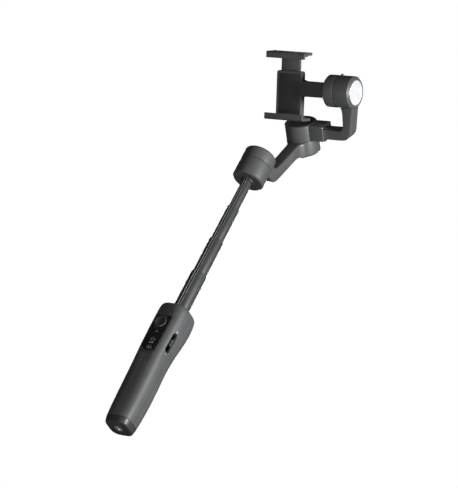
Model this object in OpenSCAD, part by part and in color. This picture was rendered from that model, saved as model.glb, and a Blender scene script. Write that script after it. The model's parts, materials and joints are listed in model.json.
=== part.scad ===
// Three-axis hand-held camera gimbal with a telescopic stick and a sprung phone clamp.
// +Z runs up the stick, -Y is the control-panel side and +X is the tilt-motor side.
// The origin is the mouth of the tripod socket in the handle's base.

/* [Handle] */
// Height of the handle
handle_h = 163; // [150:1:175]
// Width of the control panel
panel_w = 21; // [20:0.5:23]
// Length of the control panel
panel_l = 67; // [64:1:70]
// Wall radius of the 1/4 inch tripod thread
tripod_r = 2.6; // [2.5:0.05:3.2]

/* [Telescopic stick] */
// Outer diameter of the widest tube
tube_d = 19.2; // [18:0.1:19.4]
// Step in diameter from one tube to the next
tube_step = 2.2; // [2:0.1:2.4]
// Wall thickness of a tube
tube_wall = 0.7; // [0.6:0.05:0.8]
// Length that each tube overlaps the next one when drawn out
tube_overlap = 13; // [11:0.5:15]

/* [Motors] */
// Outer radius of all three motors
motor_r = 19.25; // [19:0.05:20]
// Height of the pan motor's housing
pan_housing_h = 23.2; // [22:0.1:26]
// Height of the pan motor with its rotor cap
pan_motor_h = 39.2; // [37:0.1:41]
// Height of the roll motor's housing
roll_housing_h = 18.7; // [18:0.1:20]
// Length of the tilt motor's housing
tilt_housing_l = 21.8; // [20:0.1:23]

/* [Head] */
// Height of the point where the three motor axes meet, above the pan motor's underside
axes_h = 139.2; // [137:0.2:142]
// Angle between the roll axis and the stick
roll_lean = 60; // [58:1:62]
// Distance from the axes' meeting point to the underside of the roll motor
roll_bottom = 81.2; // [81:0.1:83]
// Distance from the axes' meeting point to the top of the roll head
roll_top = 42.1; // [42:0.1:43]
// Distance from the axes' meeting point to the outer end of the tilt motor
tilt_end = 81; // [80:0.5:84]
// Depth of the cross arm's sliding bar
bar_depth = 16.5; // [15:0.1:17]
// Height of the cross arm's sliding bar
bar_h = 11.8; // [11:0.1:12]

/* [Phone clamp] */
// Clear width between the jaws
phone_w = 71; // [62:0.5:76]
// Clear depth of a jaw
phone_t = 8; // [7.5:0.1:9]
// Width of the jaws
jaw_w = 52; // [46:0.5:54]
// Offset of the clamp's middle from the pan axis along the tilt axis
jaw_offset = -8; // [-10:0.5:-6]

/* [Pose as drawn] */
// Turn of the roll head
roll_turn = 3.5; // [-30:0.5:30]
// Turn of the phone clamp
tilt_turn = -18.4; // [-60:0.2:60]

/* [Hidden] */

$fn = 64;
eps = 0.01;

// Running gap between a shaft or slider and its bore
fit = 0.05;
// Gap between a fixed and a turning housing
split = 0.4;

// Handle
base_h = 8;
part_y = 1;
handle_d = 41;
handle_w = 39.4;
handle_cy = 0.15;
handle_corner = 15;
front_y = -20.2;
// Outlines as [height, distance from the stick's axis]
rear_line = [[0, 14.6], [8, 15.8], [34, 17], [62, 16.8], [86, 15.4], [106, 16.2], [121, 18.4],
    [137, 20.4], [150, 20.2], [157, 19.2], [161, 17], [163, 14]];
front_line = [[0, -15.6], [8, -17], [34, -18], [66, -18.8], [96, -20.2], [126, -20.2],
    [150, -20.2], [158, -19.6], [161, -18.4], [163, -16.2]];
side_line = [[0, 15], [8, 16.4], [40, 17.6], [80, 17.8], [105, 18.8], [130, 19.6], [150, 19.4],
    [157, 18.6], [161, 16.8], [163, 14]];
// The four flattened corners, as [height, distance from the handle's middle]
corner_line = [[0, 16.4], [8, 17.8], [40, 18.9], [85, 18.9], [105, 20.4], [130, 22], [150, 22],
    [157, 21.2], [161, 19.4], [163, 16.6]];

// Controls on the panel, by their height on the handle
panel_top = 159;
panel_bottom = panel_top - panel_l;
panel_t = 1.4;
panel_y = front_y - 0.3;
joystick_z = 133;
joystick_pivot_y = -15;
joystick_recess_r = 8.4;
joystick_rim_r = 9.3;
mode_z = 109.5;
shutter_z = 99;
button_r = 3.6;
// Window through the shell behind the panel
window_w = 12;
window_low = 93.5;
window_high = 130;
module_hole_w = 14.6;
slider_z = 114.5;
slider_y = -9.5;
slider_slot_l = 23;
slider_slot_w = 6;
trigger_z = 130;
trigger_y = 14.2;
trigger_l = 21;
trigger_w = 14;
board_y = -12.6;
board_t = 1.2;
usb_z = 82;

// Stick
tube_count = 4;
visible = [53, 48.5, 47.2, 40.1];
groove_w = 2.2;
groove_depth = 0.35;
lip_h = 3;
bush_h = 9;
function tube_r(i) = (tube_d - i * tube_step) / 2;
function tube_top(i) = handle_h + total(visible, i);
function total(list, last) = list[last] + (last > 0 ? total(list, last - 1) : 0);
function tube_length(i) = visible[i] + tube_overlap;
pan_z = tube_top(tube_count - 1);
socket_r = tube_r(0) + 0.4;
socket_wall = 1.2;
socket_bottom = handle_h - 66;

// Motor internals, measured from the split plane down into the housing
motor_wall = 1.6;
motor_floor = 2;
bell_r = 17;
bell_wall = 1.3;
bell_plate = 2;
magnet_t = 1.5;
magnet_h = 9;
stator_r = 13.8;
stator_h = 8;
boss_r = 7.6;
bearing_r = 6;
bearing_h = 3.5;
shaft_r = 4;
shaft_bore = 2.6;
poles = 14;
slots = 12;

// Roll head
roll_split = roll_bottom - roll_housing_h;
bar_mid = 53.4;
bar_gap = 0.15;
sleeve_end = 34;
sleeve_depth = 21.4;
sleeve_top = 42.5;
sleeve_bottom = 62;
sleeve_chamfer = 1.4;
head_cover_r = 16;
rim_t = 0.8;

// Cross arm
bar_inner_end = -7;
bar_travel_in = 8.6;
elbow_x = 62;
lug_l = 2.4;
lug_w = 3;
lug_h = 1.7;
lug_gap = 0.4;
lock_screw_x = 24;
tilt_split = tilt_end - tilt_housing_l;
cap_face = 45;

// Phone clamp, in millimetres across the clamp, behind (-) and ahead (+) of the tilt axis
slot_low = -33;
slot_high = slot_low + phone_w;
slot_back = 4.2;
pad_t = 1.2;
plate_back = -5.5;
plate_front = slot_back - pad_t;
lip_t = 2.3;
lip_h_jaw = 3;
shelf_t = 3.4;
body_w = 34;
body_top = 20;
tongue_w = 25;
rod_r = 1.3;
rod_spread = 7.5;
ring_count = 9;

// A smooth line through the given points, with n steps between each pair
function along(p, n) = concat(
    [for (i = [0:len(p) - 2], s = [0:n - 1])
        bend(p[max(i - 1, 0)], p[i], p[i + 1], p[min(i + 2, len(p) - 1)], s / n)],
    [p[len(p) - 1]]);
function bend(a, b, c, d, t) = 0.5 * (2 * b + (c - a) * t + (2 * a - 5 * b + 4 * c - d) * t * t
    + (3 * b - a - 3 * c + d) * t * t * t);
function swapped(line) = [for (p = line) [p[1], p[0]]];
function reversed(line) = [for (i = [len(line) - 1:-1:0]) line[i]];
function mirrored(line) = [for (p = line) [-p[0], p[1]]];

module rounded_rect(w, d, r) {
    square([w - 2 * r, d], center = true);
    square([w, d - 2 * r], center = true);
    for (x = [-1, 1], y = [-1, 1])
        translate([x * (w / 2 - r), y * (d / 2 - r)]) circle(r);
}

// A flat slot with round ends, long along Y
module slot2d(w, l) {
    square([w, l - w], center = true);
    for (y = [-1, 1]) translate([0, y * (l - w) / 2]) circle(w / 2);
}

module ring(r_out, r_in, h) {
    difference() {
        cylinder(r = r_out, h = h);
        translate([0, 0, -1]) cylinder(r = r_in, h = h + 2);
    }
}

// Cylinder with a chamfer on its lower or its upper edge
module chamfered(r, h, low, high) {
    rotate_extrude() polygon([[0, 0], [r - low, 0], [r, low], [r, h - high], [r - high, h], [0, h]]);
}

// Places children on the handle's front, with their Z pointing out of the panel
module on_front(z, y) { translate([0, y, z]) rotate([90, 0, 0]) children(); }

// Places children in the frames of the head
module at_pan() { translate([0, 0, pan_z]) children(); }
module at_axes() { translate([0, 0, pan_z + axes_h]) rotate([roll_lean, 0, 0]) children(); }
module at_roll() { at_axes() rotate([0, 0, roll_turn]) children(); }
module at_tilt() { at_roll() rotate([tilt_turn, 0, 0]) children(); }

// Places children at the closed end of a motor's housing, with Z towards its rotor
module at_roll_motor() { translate([0, 0, -roll_bottom]) children(); }
module at_tilt_motor() { translate([tilt_end, 0, 0]) rotate([0, -90, 0]) children(); }

// ---- Motor pieces, in the motor's own frame ----

// Space inside a housing that is h high
module motor_cavity(h) {
    difference() {
        translate([0, 0, motor_floor]) cylinder(r = motor_r - motor_wall, h = h);
        cylinder(r = boss_r, h = h - 1.6);
    }
    translate([0, 0, motor_floor]) cylinder(r = bearing_r, h = h);
    translate([0, 0, -1]) cylinder(r = shaft_r + 0.6, h = h);
}

module motor_stator(h) {
    translate([0, 0, h - 10]) {
        linear_extrude(stator_h) difference() {
            union() {
                circle(boss_r + 1.6);
                intersection() {
                    circle(stator_r);
                    for (i = [0:slots - 1]) rotate(i * 360 / slots)
                        translate([0, -0.8]) square([stator_r + 1, 1.6]);
                }
                difference() {
                    circle(stator_r);
                    circle(stator_r - 1);
                    for (i = [0:slots - 1]) rotate((i + 0.5) * 360 / slots)
                        translate([0, -0.5]) square([stator_r + 1, 1]);
                }
            }
            circle(boss_r);
        }
        for (i = [0:slots - 1]) rotate(i * 360 / slots)
            translate([boss_r + 1.8, -1.5, -0.7]) cube([2.8, 3, stator_h + 1.4]);
    }
}

module motor_bearings(h) {
    for (z = [h - 14, h - 5.5]) translate([0, 0, z]) rotate_extrude()
        polygon([[shaft_r + fit, 0], [4.7, 0], [4.7, 0.3], [5.3, 0.3], [5.3, 0], [bearing_r, 0],
            [bearing_r, bearing_h], [5.3, bearing_h], [5.3, bearing_h - 0.3],
            [4.7, bearing_h - 0.3], [4.7, bearing_h], [shaft_r + fit, bearing_h]]);
}

module motor_bell(h) {
    translate([0, 0, h + split]) ring(bell_r, shaft_r, bell_plate);
    translate([0, 0, h - 11]) ring(bell_r - 0.1, bell_r - bell_wall, 11 + split + eps);
}

module motor_magnets(h) {
    translate([0, 0, h - 10.5]) linear_extrude(magnet_h) difference() {
        circle(bell_r - bell_wall);
        circle(bell_r - bell_wall - magnet_t);
        for (i = [0:poles - 1]) rotate(i * 360 / poles)
            translate([0, -0.3]) square([bell_r, 0.6]);
    }
}

module motor_shaft(h) {
    translate([0, 0, 2.4]) ring(shaft_r, shaft_bore, h + split + bell_plate - 2.4);
}

// ---- Handle ----

module handle_outer() {
    intersection() {
        translate([0, handle_cy, 0]) linear_extrude(handle_h)
            rounded_rect(handle_w, handle_d, handle_corner);
        rotate([90, 0, 90]) linear_extrude(60, center = true)
            polygon(concat(swapped(along(rear_line, 4)), reversed(swapped(along(front_line, 4)))));
        rotate([90, 0, 0]) both_sides(side_line);
        intersection_for (turn = [45, 135])
            translate([0, -0.9, 0]) rotate([90, 0, turn]) both_sides(corner_line);
    }
}

module both_sides(line) {
    linear_extrude(80, center = true)
        polygon(concat(swapped(along(line, 4)), reversed(mirrored(swapped(along(line, 4))))));
}

module handle_hollow() {
    translate([0, -1, base_h - 1]) linear_extrude(90)
        rounded_rect(30.5, 30, 12);
    translate([0, 0.2, 88]) linear_extrude(handle_h - 88 - 5)
        rounded_rect(34.4, 32, 12);
}

// Openings in the front shell for the panel and what sits under it
module panel_openings() {
    translate([0, 0, (panel_top + panel_bottom) / 2]) {
        translate([0, panel_y + panel_t, 0]) rotate([90, 0, 0])
            linear_extrude(10) slot2d(panel_w, panel_l);
    }
    translate([0, 0, (window_low + window_high) / 2]) rotate([90, 0, 0]) linear_extrude(30)
        slot2d(window_w, window_high - window_low);
    translate([-module_hole_w / 2, -30, joystick_z - module_hole_w / 2])
        cube([module_hole_w, 30, module_hole_w]);
    on_front(joystick_z, -10) cylinder(r = joystick_rim_r + 0.05, h = 20);
}

module slider_slot() {
    translate([10, slider_y, slider_z]) rotate([90, 0, 90]) linear_extrude(20)
        slot2d(slider_slot_w, slider_slot_l);
}

module screw_places() {
    for (x = [-12, 12], z = [22, 92]) translate([x, part_y, z]) children();
}

module handle_front_shell() {
    color("#2e2f31") difference() {
        union() {
            difference() {
                handle_outer();
                handle_hollow();
            }
            intersection() {
                handle_outer();
                screw_places() rotate([90, 0, 0]) cylinder(r = 2.6, h = 16);
            }
        }
        translate([-30, part_y, -1]) cube([60, 40, handle_h + 2]);
        translate([-30, -30, -1]) cube([60, 60, base_h + 1]);
        translate([0, 0, socket_bottom]) cylinder(r = socket_r + socket_wall, h = 80);
        translate([0, 0, handle_h - 3]) cylinder(r = socket_r + socket_wall + 1.6, h = 80);
        panel_openings();
        slider_slot();
        screw_places() translate([0, 1, 0]) rotate([90, 0, 0]) cylinder(r = 0.8, h = 9);
    }
}

module handle_rear_shell() {
    color("#2e2f31") difference() {
        union() {
            difference() {
                handle_outer();
                handle_hollow();
            }
            intersection() {
                handle_outer();
                screw_places() rotate([-90, 0, 0]) cylinder(r = 2.6, h = 16);
            }
        }
        translate([-30, part_y - 40, -1]) cube([60, 40, handle_h + 2]);
        translate([-30, -30, -1]) cube([60, 60, base_h + 1]);
        translate([0, 0, socket_bottom]) cylinder(r = socket_r + socket_wall, h = 80);
        translate([0, 0, handle_h - 3]) cylinder(r = socket_r + socket_wall + 1.6, h = 80);
        translate([-trigger_w / 2 - 0.4, 11, trigger_z - trigger_l + 2])
            cube([trigger_w + 0.8, 12, trigger_l + 1]);
        translate([-trigger_w / 2 - 3, trigger_y, trigger_z]) rotate([0, 90, 0])
            cylinder(r = 1, h = trigger_w + 6);
        translate([-22, part_y + 1.2, usb_z - 4.6]) cube([8, 3.4, 9.2]);
        screw_places() {
            translate([0, -1, 0]) rotate([-90, 0, 0]) cylinder(r = 1.05, h = 9);
            translate([0, 5, 0]) rotate([-90, 0, 0]) cylinder(r = 2.1, h = 30);
        }
    }
}

module base_cap() {
    color("#242527") difference() {
        intersection() {
            handle_outer();
            translate([-30, -30, 0]) cube([60, 60, base_h]);
        }
        translate([0, 0, -1]) cylinder(r = 5.5, h = 4);
        cylinder(r = 4.6, h = 20);
    }
}

module tripod_insert() {
    color("#b9b9bb") difference() {
        union() {
            cylinder(r = 5.5, h = 3);
            cylinder(r = 4.6, h = 10);
        }
        translate([0, 0, -1]) cylinder(r = tripod_r, h = 12);
    }
}

module control_panel() {
    color("#111214") difference() {
        translate([0, panel_y + panel_t, (panel_top + panel_bottom) / 2]) rotate([90, 0, 0])
            linear_extrude(panel_t) slot2d(panel_w, panel_l);
        on_front(joystick_z, -10) cylinder(r = joystick_rim_r, h = 20);
        for (z = [mode_z, shutter_z]) on_front(z, -10) cylinder(r = button_r + 0.15, h = 20);
    }
}

module joystick_socket() {
    color("#1b1c1e") difference() {
        union() {
            on_front(joystick_z, -17.6) cylinder(r = joystick_rim_r, h = 2.7);
            translate([-7, -17.6, joystick_z - 7]) cube([14, 5.6, 14]);
        }
        on_front(joystick_z, -18.6) cylinder(r = joystick_recess_r, h = 5);
        on_front(joystick_z, -12.6) cylinder(r = 5.4, h = 5);
        on_front(joystick_z, -16) cylinder(r = 3.6, h = 6);
        translate([-8, joystick_pivot_y, joystick_z]) rotate([0, 90, 0])
            cylinder(r = 0.65, h = 16);
    }
}

module joystick_ring() {
    color("#c9cacb") difference() {
        union() {
            on_front(joystick_z, joystick_pivot_y + 1) cylinder(r = 4.6, h = 2);
            translate([-6.4, joystick_pivot_y, joystick_z]) rotate([0, 90, 0])
                cylinder(r = 0.6, h = 12.8);
        }
        on_front(joystick_z, joystick_pivot_y + 3) cylinder(r = 3.4, h = 6);
        translate([0, joystick_pivot_y, joystick_z - 6]) cylinder(r = 0.65, h = 12);
    }
}

module joystick_cap() {
    color("#2b2c2e") {
        on_front(joystick_z, joystick_pivot_y) rotate_extrude()
            polygon([[0, -1], [1.5, -1], [1.5, 4.6], [4, 5.2], [7.8, 7], [7.8, 8], [7.2, 8.6],
                [6.4, 8.6], [3, 7.6], [0, 7.4]]);
        on_front(joystick_z, joystick_pivot_y + 1) cylinder(r = 2.2, h = 2);
        translate([0, joystick_pivot_y, joystick_z - 4.5]) cylinder(r = 0.6, h = 9);
    }
}

module panel_button(z) {
    on_front(z, panel_y + panel_t) cylinder(r = button_r, h = panel_t + 0.5);
    on_front(z, -18.2) cylinder(r = button_r + 0.9, h = 0.8);
    on_front(z, -16.3) cylinder(r = 1, h = 3);
}

module mode_button() { color("#1d1e20") panel_button(mode_z); }

module shutter_button() {
    color("#1d1e20") difference() {
        panel_button(shutter_z);
        on_front(shutter_z, panel_y - 0.3) cylinder(r = 1.1, h = 2);
    }
}

module main_board() {
    color("#1f5a3a") translate([-9, board_y - board_t, 84]) cube([18, board_t, 40]);
    color("#333") translate([-2.5, board_y - board_t - 1.6, 87]) cube([5, 1.6 + eps, 5]);
    color("silver") for (z = [mode_z, shutter_z])
        translate([-2, board_y - board_t - 1.8, z - 2]) cube([4, 1.8 + eps, 4]);
}

module battery() {
    color("#2f6fae") translate([0, -1, 14]) {
        chamfered(9.2, 65, 0.6, 0.6);
        translate([0, 0, 64.9]) cylinder(r = 3, h = 1.2);
    }
}

module stick_socket() {
    color("#26272a") difference() {
        union() {
            translate([0, 0, socket_bottom])
                cylinder(r = socket_r + socket_wall, h = handle_h - socket_bottom - 2);
            translate([0, 0, handle_h - 3]) chamfered(socket_r + socket_wall + 1.6, 3.4, 0, 0.8);
        }
        translate([0, 0, socket_bottom + 1.2]) cylinder(r = tube_r(0) + 0.4, h = handle_h
            - socket_bottom - 1.2 - lip_h);
        translate([0, 0, socket_bottom - 1]) linear_extrude(80) keyed_hole(tube_r(0) + fit);
    }
}

module zoom_slider() {
    color("#1d1e20") translate([0, slider_y, slider_z]) rotate([90, 0, 90]) {
        translate([0, 0, 14.2]) linear_extrude(1.6) rounded_rect(5, 14, 2);
        translate([0, 0, 15]) linear_extrude(4.2) rounded_rect(4.6, 10, 2);
        translate([0, 0, 15]) linear_extrude(5) rounded_rect(4.6, 2, 0.8);
    }
}

// Side outline of the trigger, as [distance from the stick's axis, height below its pin]
trigger_line = [[12.4, 1.6], [15.8, 2.2], [19.6, 2], [20.4, 0], [19.4, -8], [18.2, -16],
    [17.4, -18.6], [15.6, -18.6], [15.4, -12], [13.6, -3], [12.4, -1.6]];

module trigger() {
    color("#222325") difference() {
        translate([-trigger_w / 2, 0, trigger_z]) rotate([90, 0, 90])
            linear_extrude(trigger_w) polygon(trigger_line);
        translate([-trigger_w, trigger_y, trigger_z]) rotate([0, 90, 0])
            cylinder(r = 1 + fit, h = 2 * trigger_w);
    }
}

module trigger_pin() {
    color("silver") translate([-trigger_w / 2 - 1.8, trigger_y, trigger_z]) rotate([0, 90, 0])
        cylinder(r = 1, h = trigger_w + 3.6);
}

module usb_port() {
    color("#8f9194") translate([-17.4, part_y + 1.35, usb_z - 4.4]) difference() {
        cube([5.6, 3.1, 8.8]);
        translate([-1, 0.4, 0.4]) cube([5.6, 2.3, 8]);
    }
}

module shell_screws() {
    color("#77797c") screw_places() {
        translate([0, -6, 0]) rotate([-90, 0, 0]) cylinder(r = 0.8, h = 11 + eps);
        translate([0, 5, 0]) rotate([-90, 0, 0]) cylinder(r = 1.9, h = 1.3);
    }
}

// ---- Telescopic stick ----

// Round hole with the key that runs in a tube's groove
module keyed_hole(r) {
    difference() {
        circle(r);
        translate([-groove_w / 2 + 0.15, -r - 1])
            square([groove_w - 0.3, 1 + groove_depth - 0.1]);
    }
}

module stick_tube(i) {
    r = tube_r(i);
    top = tube_top(i);
    last = i == tube_count - 1;
    translate([0, 0, top - tube_length(i)]) difference() {
        linear_extrude(tube_length(i)) difference() {
            circle(r);
            translate([-groove_w / 2, -r - 1]) square([groove_w, 1 + groove_depth]);
        }
        translate([0, 0, last ? -1 : -lip_h])
            cylinder(r = r - tube_wall, h = tube_length(i) + (last ? 2 : 0));
        if (!last) translate([0, 0, -1]) linear_extrude(tube_length(i) + 2)
            keyed_hole(tube_r(i + 1) + fit);
    }
}

module tube_bush(i) {
    r = tube_r(i);
    bore = i == 0 ? socket_r : tube_r(i - 1) - tube_wall;
    translate([0, 0, tube_top(i) - tube_length(i)]) {
        difference() {
            ring(bore - fit, r, bush_h);
            translate([-groove_w / 2, -bore - 1, -1]) cube([groove_w, 3, bush_h + 2]);
        }
        translate([0, 0, -1.2]) ring(bore - fit, r - tube_wall, 1.2);
    }
}

module stick_tube_1() { color("#1c1d1f") stick_tube(0); }
module stick_tube_2() { color("#1c1d1f") stick_tube(1); }
module stick_tube_3() { color("#1c1d1f") stick_tube(2); }
module stick_tube_4() { color("#1c1d1f") stick_tube(3); }
module tube_bush_1() { color("#55585c") tube_bush(0); }
module tube_bush_2() { color("#55585c") tube_bush(1); }
module tube_bush_3() { color("#55585c") tube_bush(2); }
module tube_bush_4() { color("#55585c") tube_bush(3); }

module stick_head() {
    r = tube_r(tube_count - 1);
    color("#26272a") at_pan() difference() {
        translate([0, 0, -2]) rotate_extrude()
            polygon([[r, 0], [r + 1.4, 0], [r + 2.6, 2], [r, 2]]);
        translate([0, 0, -3]) cylinder(r = r, h = 4);
    }
    color("#26272a") at_pan() translate([0, 0, -9]) ring(r - tube_wall, 3.4, 9);
}

// ---- Pan motor and arm ----

module pan_housing() {
    color("#303133") at_pan() difference() {
        chamfered(motor_r, pan_housing_h, 1.6, 0);
        motor_cavity(pan_housing_h);
    }
}

module pan_stator() { color("#b06a3a") at_pan() motor_stator(pan_housing_h); }
module pan_bearings() { color("silver") at_pan() motor_bearings(pan_housing_h); }
module pan_bell() { color("#8d8f92") at_pan() motor_bell(pan_housing_h); }
module pan_magnets() { color("#5a5c60") at_pan() motor_magnets(pan_housing_h); }
module pan_shaft() { color("silver") at_pan() motor_shaft(pan_housing_h); }

module pan_cover() {
    color("#2a2b2d") at_pan() translate([0, 0, pan_motor_h - 1.2]) chamfered(15.4, 1.4, 0, 0.4);
}

// Side outline of the arm, as [distance behind the stick's axis, height]
arm_front = [[16, 39.1], [26, 40.4], [28.8, 43.8], [32, 52.2], [36.6, 65.2], [40.4, 78.2],
    [44.6, 91.4], [50, 97.2]];
arm_back = [[64, 93.2], [61, 82.4], [55.8, 80], [51.8, 70], [47, 55.5], [39.4, 33], [36.2, 27.2],
    [31, 24.2], [16, 24.2]];
arm_w = 17;
flare_r = 14;
flare_x = arm_w / 2 + flare_r;
flare_y = sqrt(pow(motor_r + flare_r, 2) - flare_x * flare_x);

// Outline of the arm where it widens into the roll housing, seen along the roll axis
module arm_flare() {
    difference() {
        translate([-flare_x, -flare_y]) square([2 * flare_x, flare_y]);
        for (x = [-1, 1]) {
            translate([x * flare_x, -flare_y]) circle(flare_r);
            translate([x * (flare_x + flare_x * motor_r / (motor_r + flare_r)) - flare_x,
                -flare_y - 1]) square([2 * flare_x, 2 * flare_y]);
        }
    }
}

module pan_arm() {
    color("#303133") difference() {
        union() {
            at_pan() translate([0, 0, pan_housing_h + split])
                chamfered(motor_r, pan_motor_h - pan_housing_h - split, 0, 1.6);
            intersection() {
                at_pan() rotate([90, 0, 90]) linear_extrude(2 * motor_r, center = true)
                    polygon(concat(arm_front, arm_back));
                union() {
                    translate([-arm_w / 2, 0, 0]) cube([arm_w, 90, 600]);
                    at_axes() translate([0, 0, -120]) linear_extrude(120) arm_flare();
                }
            }
            at_axes() at_roll_motor() chamfered(motor_r, roll_housing_h, 2.2, 0);
        }
        at_pan() {
            translate([0, 0, pan_housing_h]) cylinder(r = bell_r, h = split + bell_plate);
            translate([0, 0, pan_housing_h]) cylinder(r = 10, h = pan_motor_h);
            translate([0, 0, pan_motor_h - 1.2]) cylinder(r = 15.4, h = 2);
            translate([0, 0, pan_housing_h + split + bell_plate + 1.6])
                cylinder(r = 15, h = pan_motor_h);
        }
        at_axes() at_roll_motor() {
            motor_cavity(roll_housing_h);
            translate([0, 0, -1]) cylinder(r = 14.6, h = 1 + 1.2);
        }
    }
}

// ---- Roll motor and head ----

module roll_stator() { color("#b06a3a") at_axes() at_roll_motor() motor_stator(roll_housing_h); }
module roll_bearings() { color("silver") at_axes() at_roll_motor() motor_bearings(roll_housing_h); }
module roll_cover() {
    color("#2a2b2d") at_axes() at_roll_motor() translate([0, 0, -0.2]) chamfered(14.6, 1.4, 0.4, 0);
}
module roll_bell() { color("#8d8f92") at_roll() at_roll_motor() motor_bell(roll_housing_h); }
module roll_magnets() { color("#5a5c60") at_roll() at_roll_motor() motor_magnets(roll_housing_h); }
module roll_shaft() { color("silver") at_roll() at_roll_motor() motor_shaft(roll_housing_h); }

module bar_passage(gap) {
    translate([bar_inner_end - bar_travel_in, -bar_depth / 2 - gap, -bar_mid - bar_h / 2 - gap])
        cube([90, bar_depth + 2 * gap, bar_h + 2 * gap]);
}

module sleeve_block(start, length) {
    half = sleeve_depth / 2;
    inset = half - sleeve_chamfer;
    translate([start, 0, 0]) rotate([90, 0, 90]) linear_extrude(length)
        polygon([[-inset, -sleeve_bottom], [inset, -sleeve_bottom],
            [half, sleeve_chamfer - sleeve_bottom], [half, -sleeve_chamfer - sleeve_top],
            [inset, -sleeve_top], [-inset, -sleeve_top], [-half, -sleeve_chamfer - sleeve_top],
            [-half, sleeve_chamfer - sleeve_bottom]]);
}

module roll_head() {
    low = -roll_split + split;
    color("#303133") at_roll() difference() {
        union() {
            rotate_extrude() polygon([[0, low], [motor_r, low], [motor_r, -roll_top - 1],
                [motor_r - 1, -roll_top], [0, -roll_top]]);
            sleeve_block(0, sleeve_end);
        }
        bar_passage(bar_gap);
        translate([0, 0, -roll_split]) cylinder(r = bell_r, h = split + bell_plate);
        translate([0, 0, -roll_top - 1.2]) cylinder(r = head_cover_r, h = 2);
        translate([lock_screw_x, 0, -bar_mid]) rotate([-90, 0, 0]) cylinder(r = 1.7, h = 20);
    }
}

module roll_head_cover() {
    color("#2a2b2d") at_roll() translate([0, 0, -roll_top - 1.2]) chamfered(head_cover_r, 1.2, 0, 0.3);
}

module sleeve_rim() {
    color("#c4c6c8") at_roll() difference() {
        sleeve_block(sleeve_end, rim_t);
        bar_passage(bar_gap);
    }
}

module arm_lock_screw() {
    thread = [bar_depth / 2 + bar_gap, sleeve_depth / 2 + 0.3];
    color("#3a3b3d") at_roll() translate([lock_screw_x, thread[0], -bar_mid])
        rotate([-90, 0, 0]) {
            cylinder(r = 1.7, h = thread[1] - thread[0] + 0.2);
            translate([0, 0, thread[1] - thread[0]]) chamfered(5, 3.6, 0.4, 0.4);
        }
}

// ---- Cross arm with the tilt motor's housing ----

// Outline of the arm seen from the front, as [distance along the tilt axis, height]
bar_low = -bar_mid - bar_h / 2;
bar_high = -bar_mid + bar_h / 2;
elbow_outer = [[59.8, bar_low], [63.8, bar_low + 1.2], [67.6, bar_low + 4.2], [70.8, bar_low + 9]];
elbow_inner = [[61.4, -41], [60.2, -44.2], [57.2, -46.8], [53.4, bar_high]];

module cross_arm() {
    color("#303133") at_roll() difference() {
        union() {
            rotate([90, 0, 0]) linear_extrude(bar_depth, center = true)
                polygon(concat([[bar_inner_end, bar_high], [bar_inner_end, bar_low]],
                    along(elbow_outer, 4), [[78, -14], [elbow_x + 1, -14]],
                    along(elbow_inner, 4)));
            at_tilt_motor() chamfered(motor_r, tilt_housing_l, 1.5, 0);
            rotate([-23, 0, 0]) translate([tilt_split + lug_gap, -lug_w / 2, motor_r - 1])
                cube([lug_l, lug_w, 1 + lug_h]);
        }
        at_tilt_motor() {
            motor_cavity(tilt_housing_l);
            translate([0, 0, -1]) cylinder(r = 14.6, h = 1 + 1.2);
        }
    }
}

module tilt_stator() { color("#b06a3a") at_roll() at_tilt_motor() motor_stator(tilt_housing_l); }
module tilt_bearings() { color("silver") at_roll() at_tilt_motor() motor_bearings(tilt_housing_l); }
module tilt_end_disc() {
    color("#e6e7e8") at_roll() at_tilt_motor() translate([0, 0, -0.3]) chamfered(14.6, 1.5, 0.5, 0);
}
module tilt_bell() { color("#8d8f92") at_tilt() at_tilt_motor() motor_bell(tilt_housing_l); }
module tilt_magnets() { color("#5a5c60") at_tilt() at_tilt_motor() motor_magnets(tilt_housing_l); }
module tilt_shaft() { color("silver") at_tilt() at_tilt_motor() motor_shaft(tilt_housing_l); }

module tilt_cap() {
    length = tilt_end - cap_face;
    color("#303133") at_tilt() at_tilt_motor() difference() {
        translate([0, 0, tilt_housing_l + split])
            chamfered(motor_r, length - tilt_housing_l - split, 0, 1.6);
        translate([0, 0, tilt_housing_l]) cylinder(r = bell_r, h = split + bell_plate);
        translate([0, 0, tilt_housing_l]) cylinder(r = 15, h = length - tilt_housing_l - 2);
    }
}

// ---- Phone clamp, in the tilt frame: X across, -Y ahead, Z between the jaws ----

// A block given by its limits across, ahead and between the jaws
module block(x, ahead, z) {
    translate([x[0], -ahead[1], z[0]]) cube([x[1] - x[0], ahead[1] - ahead[0], z[1] - z[0]]);
}

// A rod or hole along the direction between the jaws
module upright(x, ahead, z, r) { translate([x, -ahead, z[0]]) cylinder(r = r, h = z[1] - z[0]); }

body_x = [jaw_offset - body_w / 2, jaw_offset + body_w / 2];
jaw_x = [jaw_offset - jaw_w / 2, jaw_offset + jaw_w / 2];
tongue_x = [jaw_offset - tongue_w / 2, jaw_offset + tongue_w / 2];
lip_front = slot_back + phone_t + lip_t;
pocket_floor = -27;
pocket_back = -3.4;
pocket_front = 1;
rod_ahead = -1.2;
tongue_low = -6;

// Jaw shelf with a lip at its front; inward is +1 where the phone lies above it
module jaw(z, inward) {
    low = inward > 0 ? z - shelf_t : z;
    block(jaw_x, [plate_back, lip_front], [low, low + shelf_t]);
    lip_low = inward > 0 ? z - eps : z - lip_h_jaw - pad_t;
    block(jaw_x, [lip_front - lip_t, lip_front], [lip_low, lip_low + lip_h_jaw + pad_t + eps]);
}

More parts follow.
